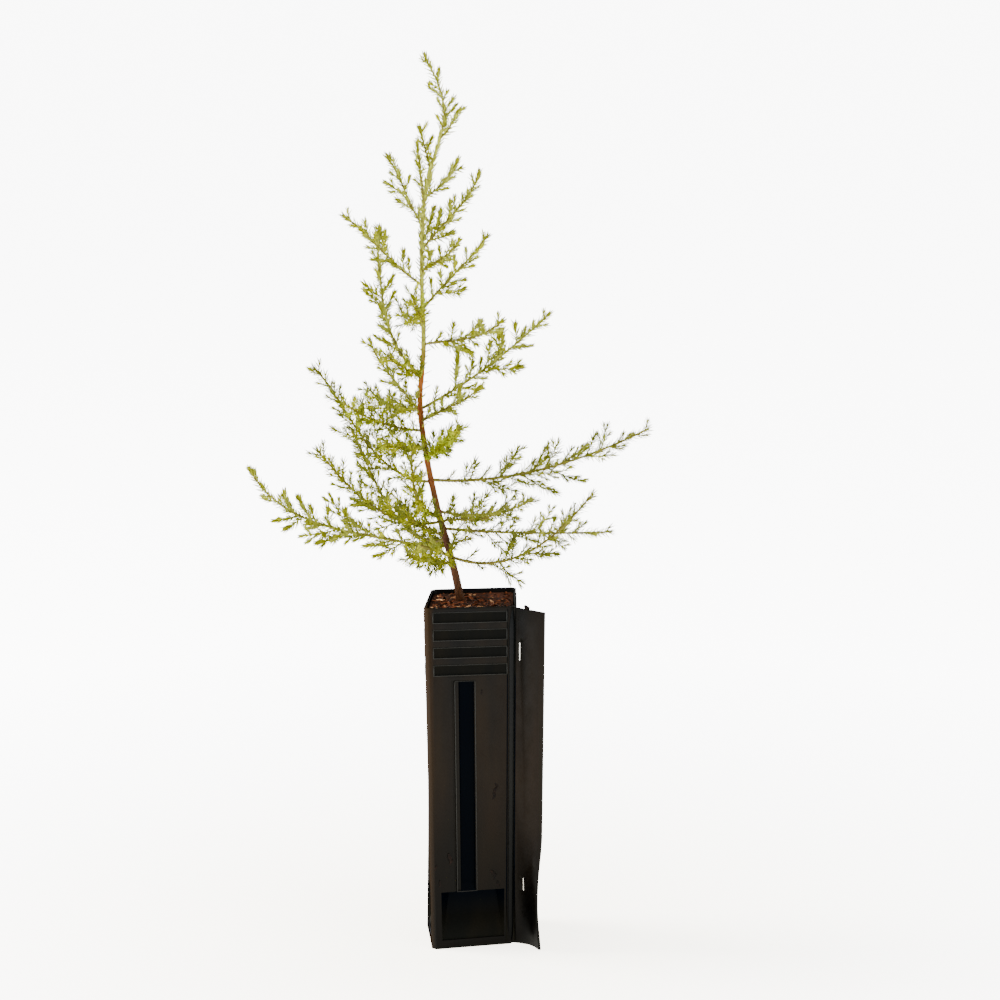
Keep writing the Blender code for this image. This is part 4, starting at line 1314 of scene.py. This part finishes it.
def relieve_bark(thing, relief, collar, marks):
    """Raise ridges along a barked tube, and swell it where a bough leaves."""
    mesh = thing.data
    normals = [vert.normal.copy() for vert in mesh.vertices]
    tree = KDTree(len(marks))
    for index, mark in enumerate(marks):
        tree.insert(mark, index)
    tree.balance()
    for vert, normal in zip(mesh.vertices, normals):
        at = vert.co
        ridge = noise.noise(Vector((at.x * RIDGES[0], at.y * RIDGES[0], at.z * RIDGES[1])))
        flake = noise.noise(Vector((at.x * FLAKES[0], at.y * FLAKES[0], at.z * FLAKES[1] + 9)))
        lift = relief * (ridge + FLAKE_SHARE * flake)
        if marks:
            mark = tree.find(at)[0]
            lift += collar * math.exp(-((at.z - mark.z) / COLLAR_HEIGHT) ** 2)
        vert.co = at + normal * lift


def barked_limb(bough):
    """The path and radii of a bare limb, carried on a little into its foliage."""
    points = bough_axis(bough)
    end = bough.limb * bough.length + LIMB_OVERLAP
    count = max(6, round(end / LIMB_STEP))
    reached = [end * step / count for step in range(count + 1)]
    return [(along(points, distance)[0],
             limb_radius(bough.length, distance / bough.length) * LIMB_BARK)
            for distance in reached]


class CYPRESS_OT_bark(bpy.types.Operator):
    """Model the trunk and the bare limbs with the relief of their bark"""
    bl_idname = "cypress.bark"
    bl_label = "Model the Bark"

    def execute(self, context):
        settings = context.scene.cypress_stems
        rows = [trunk_at(blend(TRUNK[0].height, TRUNK_TOP + 0.001, step / TRUNK_RINGS))
                for step in range(TRUNK_RINGS)]
        barked = [(centre, radius + settings.bark) for centre, radius in rows]
        trunk = tubes("trunk_bark", [barked], 5)
        marks = [trunk_at(bough.height)[0] for bough in BOUGHS]
        relieve_bark(trunk, settings.relief, settings.collar, marks)
        dress(trunk, 60, bark_finish(settings), "bark", "trunk")

        limbs = [barked_limb(bough) for bough in BOUGHS if bough.limb]
        bark_limbs = tubes("bough_bark", limbs, 3)
        relieve_bark(bark_limbs, settings.relief * 0.5, 0.0, [])
        names = [f"bough_{number:02d}" for number, bough in enumerate(BOUGHS, start=1)
                 if bough.limb]
        dress(bark_limbs, 60, stem_finish("bough_bark_brown", settings.twig_brown, 1.7),
              "young_bark", *names)
        return {"FINISHED"}


STEM_OVERLAP = 0.002
BARE_LEAST = 0.003


def stem_path(stem):
    """The points and radii of a stem's tube, from a little inside the bark of a bare limb."""
    total = path_length(stem.points)
    pairs = []
    travelled = 0.0
    last = stem.points[0]
    for point in stem.points:
        travelled += (point - last).length
        last = point
        barked = travelled < stem.start - STEM_OVERLAP and stem.start > BARE_LEAST
        if stem.level == 0 and barked:
            continue
        pairs.append((point, blend(stem.start_radius, stem.end_radius, travelled / total)))
    return pairs


class CYPRESS_OT_stems(bpy.types.Operator):
    """Grow the boughs' stems and the green shoots"""
    bl_idname = "cypress.stems"
    bl_label = "Grow the Stems"

    def execute(self, context):
        settings = context.scene.cypress_stems
        axes = [stem_path(stem) for stem in STEMS if stem.level == 0]
        shoots = [stem_path(stem) for stem in STEMS if stem.level > 0]
        for name, paths, resolution, color, slot in (
                ("bough_stems", axes, 2, settings.twig_brown, "young_bark"),
                ("green_shoots", shoots, 0, settings.twig_green, "needles")):
            dress(tubes(name, paths, resolution), 60, stem_finish(name, color, 1.6), slot)
        return {"FINISHED"}


# --- Needles ---------------------------------------------------------------------------------

BELLY_HEIGHT = 0.60
BELLY_WIDTH = 2.3
BELLY_BEND = 0.10
FLATNESS = (0.72, 1.15)


def awl_needle():
    """One awl needle, a unit long and wide: three-sided, fullest past its middle, bent inward."""
    deselect_all()
    bpy.ops.mesh.primitive_cone_add(vertices=3, radius1=0.5, radius2=0.0, depth=1.0,
                                    end_fill_type="NGON", location=(0, 0, 0.5))
    needle = bpy.context.view_layer.objects.active
    settle_place(needle)
    with editing(needle):
        bpy.ops.mesh.bisect(plane_co=(0, 0, BELLY_HEIGHT), plane_no=(0, 0, 1))
    for vert in needle.data.vertices:
        if 0 < vert.co.z < 1:
            vert.co.x = vert.co.x * BELLY_WIDTH + BELLY_BEND
            vert.co.y *= BELLY_WIDTH
        vert.co.x *= FLATNESS[0]
        vert.co.y *= FLATNESS[1]
    return take_unit(needle)


def needle_place(root, direction, outward, length, width):
    """The 4 x 4 place of a needle: its length along direction, its flat side outward."""
    side = direction.cross(outward).normalized()
    face = side.cross(direction).normalized()
    place = Matrix((face * width, side * width, direction * length)).transposed().to_4x4()
    place.translation = root
    return place


# Needles stand in whorls of three, each whorl turned from the last: long and open down the
# stem, shorter, wider and closer where it ends.
WHORL = 3
WHORL_TURNS = 6
WHORL_ROLL = 0.3
WHORL_STEPS = (0.85, 1.15)
FIRST_WHORL = 0.3
FIRST_SIDE = Vector((0.31, 0.67, 0.67))
NEEDLES_FROM = 0.0036
NEEDLES_UNTIL = 0.0002
NEEDLE_LENGTHS = (0.78, 1.15)
NEEDLE_SINK = 0.5
NEEDLE_SAG = 0.04
SPLAY_SPREAD = 0.13
YOUNG_UNTIL = 2
YOUNG_LENGTH = 0.75
BARE_STEP = 1.5
CROWD_MOST = 0.6
TIP_LENGTH = 0.82
TIP_SPLAY = math.radians(15)
TIP_WIDTH = 1.20
TIP_STEP = 0.36
TIP_TINT_FROM = 0.35
TIP_TINT_STEM = 0.0085


def set_needles(stem, settings, rng, needles, tips):
    """Set whorls of needles along a stem, from its root or from the end of its bare limb."""
    total = path_length(stem.points)
    tuft = TUFTS[tint_of(stem.owner)]
    side = FIRST_SIDE
    distance = settings.pitch * FIRST_WHORL if stem.level else min(stem.start, NEEDLES_FROM)
    crowd = min(tuft.crowd, total * CROWD_MOST)
    open_splay = settings.splay * stem.fullness / math.sqrt(tuft.width)
    full_width = settings.width * tuft.width * max(1.0, stem.fullness)
    number = rng.randrange(WHORL_TURNS)
    while distance < total - NEEDLES_UNTIL:
        centre, direction = along(stem.points, distance)
        side, over = ring_frame(direction, side)
        radius = blend(stem.start_radius, stem.end_radius, distance / total)
        close = max(0.0, 1 - (total - distance) / crowd)
        length = settings.length * stem.fullness * blend(1.0, TIP_LENGTH, close)
        if distance < settings.pitch * YOUNG_UNTIL and stem.level:
            length *= YOUNG_LENGTH
        width = full_width * blend(1.0, TIP_WIDTH, close)
        bucket = tips if close > TIP_TINT_FROM and total > TIP_TINT_STEM else needles
        for leaf in range(WHORL):
            roll = (leaf * math.tau / WHORL + number * math.pi / WHORL
                    + rng.uniform(-WHORL_ROLL, WHORL_ROLL))
            outward = side * math.cos(roll) + over * math.sin(roll)
            splay = blend(open_splay, TIP_SPLAY, close)
            splay += rng.gauss(0, SPLAY_SPREAD) * (1 - close / 2)
            aim = direction * math.cos(splay) + outward * math.sin(splay)
            aim.z -= NEEDLE_SAG * (1 - close)
            aim.normalize()
            root = centre + outward * (radius * NEEDLE_SINK)
            bucket.append(needle_place(root, aim, outward, length * rng.uniform(*NEEDLE_LENGTHS),
                                       width))
        step = settings.pitch * rng.uniform(*WHORL_STEPS) * blend(1.0, TIP_STEP, close)
        distance += step * (BARE_STEP if distance < stem.start else 1.0)
        number += 1


# The trunk's own needles, which begin on its brown part and go on up its green one. These
# pairs are the least and most that may be drawn.
TRUNK_NEEDLES_FROM = 0.100
TRUNK_SPLAY = (0.75, 1.30)
TRUNK_LENGTHS = (0.5, 1.0)
TRUNK_STEP_SPREAD = (0.8, 1.3)
TRUNK_SINK = 0.8
# These pairs are a value for the brown part and one for the green part.
TRUNK_GREENS = (0.13, 0.20)
TRUNK_CLOSING = (1.0, 0.50)
TRUNK_SHORTENING = (1.0, 0.66)
TRUNK_WIDTHS = (1.25, 1.85)
TRUNK_STEPS = (0.0042, 0.0013)


def set_trunk_needles(settings, rng, needles):
    """Single old needles along the trunk, scarce below and closer up its green part."""
    height = TRUNK_NEEDLES_FROM
    side = Vector((1, 0, 0))
    while height < TRUNK_TOP:
        centre, radius = trunk_at(height)
        direction = (trunk_at(height + 0.001)[0] - centre).normalized()
        side, over = ring_frame(direction, side)
        brown_end, green_start = TRUNK_GREENS
        high = min(1.0, max(0.0, (height - brown_end) / (green_start - brown_end)))
        start = rng.uniform(0, math.tau)
        for leaf in range(WHORL):
            roll = start + leaf * math.tau / WHORL
            outward = side * math.cos(roll) + over * math.sin(roll)
            splay = rng.uniform(*TRUNK_SPLAY) * blend(*TRUNK_CLOSING, high)
            aim = (direction * math.cos(splay) + outward * math.sin(splay)).normalized()
            length = (settings.trunk_length * rng.uniform(*TRUNK_LENGTHS)
                      * blend(*TRUNK_SHORTENING, high))
            needles.append(needle_place(centre + outward * (radius * TRUNK_SINK), aim, outward,
                                        length, settings.width * blend(*TRUNK_WIDTHS, high)))
        height += blend(*TRUNK_STEPS, high) * rng.uniform(*TRUNK_STEP_SPREAD)


# Whole masses go into a piece until it holds this many needles.
MOST_NEEDLES = 19000


class CYPRESS_OT_needles(bpy.types.Operator):
    """Set the awl needles on every shoot, a tint for each spray and a darker one for tips"""
    bl_idname = "cypress.needles"
    bl_label = "Set the Needles"

    def join(self, unit, tint, color, places):
        """Join one tint's needles into pieces that each stay under MOST_NEEDLES."""
        material = needle_finish(f"needles_{tint}", tuple(color))
        pieces = [[]]
        for owner in places:
            if sum(len(places[other]) for other in pieces[-1]) + len(places[owner]) > MOST_NEEDLES:
                pieces.append([])
            pieces[-1].append(owner)
        for number, group in enumerate(pieces, start=1):
            joined = [place for owner in group for place in places[owner]]
            own = [owner for owner in group if tint_of(owner) == tint]
            dress(joined_copies(f"needles_{tint}_{number}", unit, joined), 20, material,
                  "needles", *own)

    def execute(self, context):
        settings = context.scene.cypress_needles
        unit = awl_needle()
        grown = {tint: {} for tint in (*TUFTS, "tip")}
        rng = random.Random(23)
        for index, stem in enumerate(STEMS):
            own = tint_of(stem.owner)
            tint = rng.choices(*zip(*DEALS[own].items()))[0] if stem.level else own
            set_needles(stem, settings, random.Random(index),
                        grown[tint].setdefault(stem.owner, []),
                        grown[TIP_TINTS.get(own, "tip")].setdefault(stem.owner, []))
        set_trunk_needles(settings, random.Random(11), grown["olive"]["leader_spray"])
        for tint, places in grown.items():
            self.join(unit, tint, getattr(settings, tint), places)
        return {"FINISHED"}


# --- The stage -------------------------------------------------------------------------------

def add_light(name, place, aim, size, power, color):
    light = bpy.data.lights.new(name, "AREA")
    light.shape = "DISK"
    light.size = size
    light.energy = power
    light.color = color
    lamp = bpy.data.objects.new(name, light)
    lamp.location = place
    lamp.rotation_euler = (Vector(aim) - Vector(place)).to_track_quat("-Z", "Y").to_euler()
    bpy.context.scene.collection.objects.link(lamp)


def pale_floor(settings):
    """The floor and backdrop, warmer by the pot, with a glow that grows away from it."""
    bpy.ops.mesh.primitive_plane_add(size=60)
    floor = bpy.context.view_layer.objects.active
    floor.name = "floor"
    finish = Finish("floor_paint", 0.7)
    reach = finish.reach()
    finish.color(finish.ramp(finish.scaled(reach, 0.03, 0.30),
                             ((0.0, tuple(settings.floor_near)), (1.0, tuple(settings.floor)))))
    finish.feed("Roughness", finish.scaled(finish.noise(1.2, 2, 0.5), 0.3, 0.7, 0.62, 0.78))
    finish.feed("Emission Strength", finish.scaled(reach, 0.06, 0.70, settings.glow_near,
                                                   settings.glow_far))
    finish.feed("Emission Color", finish.ramp(finish.scaled(reach, 0.05, 0.45),
                                              ((0.0, (1.0, 0.96, 0.84)), (1.0, WHITE))))
    wear(floor, finish.material)


def white_room(settings):
    """A plain white room around, its walls dimmer above the backdrop."""
    world = bpy.data.worlds.new("soft_room")
    world.use_nodes = True
    nodes, links = world.node_tree.nodes, world.node_tree.links
    split = nodes.new("ShaderNodeSeparateXYZ")
    links.new(nodes.new("ShaderNodeTexCoord").outputs["Generated"], split.inputs["Vector"])
    climb = nodes.new("ShaderNodeMapRange")
    for socket, value in (("From Min", 0.05), ("From Max", 0.20),
                          ("To Min", settings.glow_far + 1.6), ("To Max", settings.room_light)):
        climb.inputs[socket].default_value = value
    links.new(split.outputs["Z"], climb.inputs["Value"])
    links.new(climb.outputs["Result"], nodes["Background"].inputs["Strength"])
    nodes["Background"].inputs["Color"].default_value = (*WHITE, 1.0)
    bpy.context.scene.world = world


def stand_camera(settings):
    turn = settings.camera_turn
    right = Vector((math.cos(turn), math.sin(turn), 0))
    ahead = Vector((-math.sin(turn), math.cos(turn), 0))
    lens = bpy.data.cameras.new("camera")
    lens.lens = settings.lens
    lens.sensor_width = 36
    camera = bpy.data.objects.new("camera", lens)
    camera.location = (ahead * -settings.camera_distance + right * settings.camera_side
                       + Vector((0, 0, settings.camera_height)))
    camera.rotation_euler = (math.pi / 2 - settings.camera_pitch, 0, turn)
    bpy.context.scene.collection.objects.link(camera)
    bpy.context.scene.camera = camera


class CYPRESS_OT_stage(bpy.types.Operator):
    """Lay the pale floor, hang the soft lights and set the camera"""
    bl_idname = "cypress.stage"
    bl_label = "Set the Stage"

    def execute(self, context):
        settings = context.scene.cypress_stage
        deselect_all()
        pale_floor(settings)
        white_room(settings)
        aim = (0, 0, 0.3)
        add_light("key_softbox", (-1.35, 0.30, 1.75), aim, 0.8, 120, (1.0, 0.98, 0.94))
        add_light("fill_softbox", (1.1, -0.9, 1.3), aim, 1.2, 10, (1.0, 0.99, 0.97))
        stand_camera(settings)
        return {"FINISHED"}


class VIEW3D_PT_cypress(bpy.types.Panel):
    """The cypress and everything it is made from"""
    bl_label = "Arizona Cypress"
    bl_idname = "VIEW3D_PT_cypress"
    bl_space_type = "VIEW_3D"
    bl_region_type = "UI"
    bl_category = "Cypress"

    def draw(self, context):
        for operator in OPERATORS:
            self.layout.operator(operator.bl_idname)
        for attribute, group in SETTINGS.items():
            box = self.layout.box()
            for name in group.__annotations__:
                box.prop(getattr(context.scene, attribute), name)


SETTINGS = {
    "cypress_pot": CypressPotSettings,
    "cypress_stems": CypressStemSettings,
    "cypress_needles": CypressNeedleSettings,
    "cypress_stage": CypressStageSettings,
}
OPERATORS = (
    CYPRESS_OT_stage, CYPRESS_OT_pot, CYPRESS_OT_soil, CYPRESS_OT_specks, CYPRESS_OT_staples,
    CYPRESS_OT_bark, CYPRESS_OT_stems, CYPRESS_OT_needles,
)
STEMS = grow_crown()


def register():
    for group in SETTINGS.values():
        bpy.utils.register_class(group)
    for attribute, group in SETTINGS.items():
        setattr(bpy.types.Scene, attribute, bpy.props.PointerProperty(type=group))
    for operator in OPERATORS:
        bpy.utils.register_class(operator)
    bpy.utils.register_class(VIEW3D_PT_cypress)


def unregister():
    bpy.utils.unregister_class(VIEW3D_PT_cypress)
    for operator in reversed(OPERATORS):
        bpy.utils.unregister_class(operator)
    for attribute, group in SETTINGS.items():
        delattr(bpy.types.Scene, attribute)
        bpy.utils.unregister_class(group)


def main():
    register()
    bpy.ops.cypress.stage()
    bpy.ops.cypress.pot()
    bpy.ops.cypress.soil()
    bpy.ops.cypress.specks()
    bpy.ops.cypress.staples()
    bpy.ops.cypress.bark()
    bpy.ops.cypress.stems()
    bpy.ops.cypress.needles()


if __name__ == "__main__":
    main()
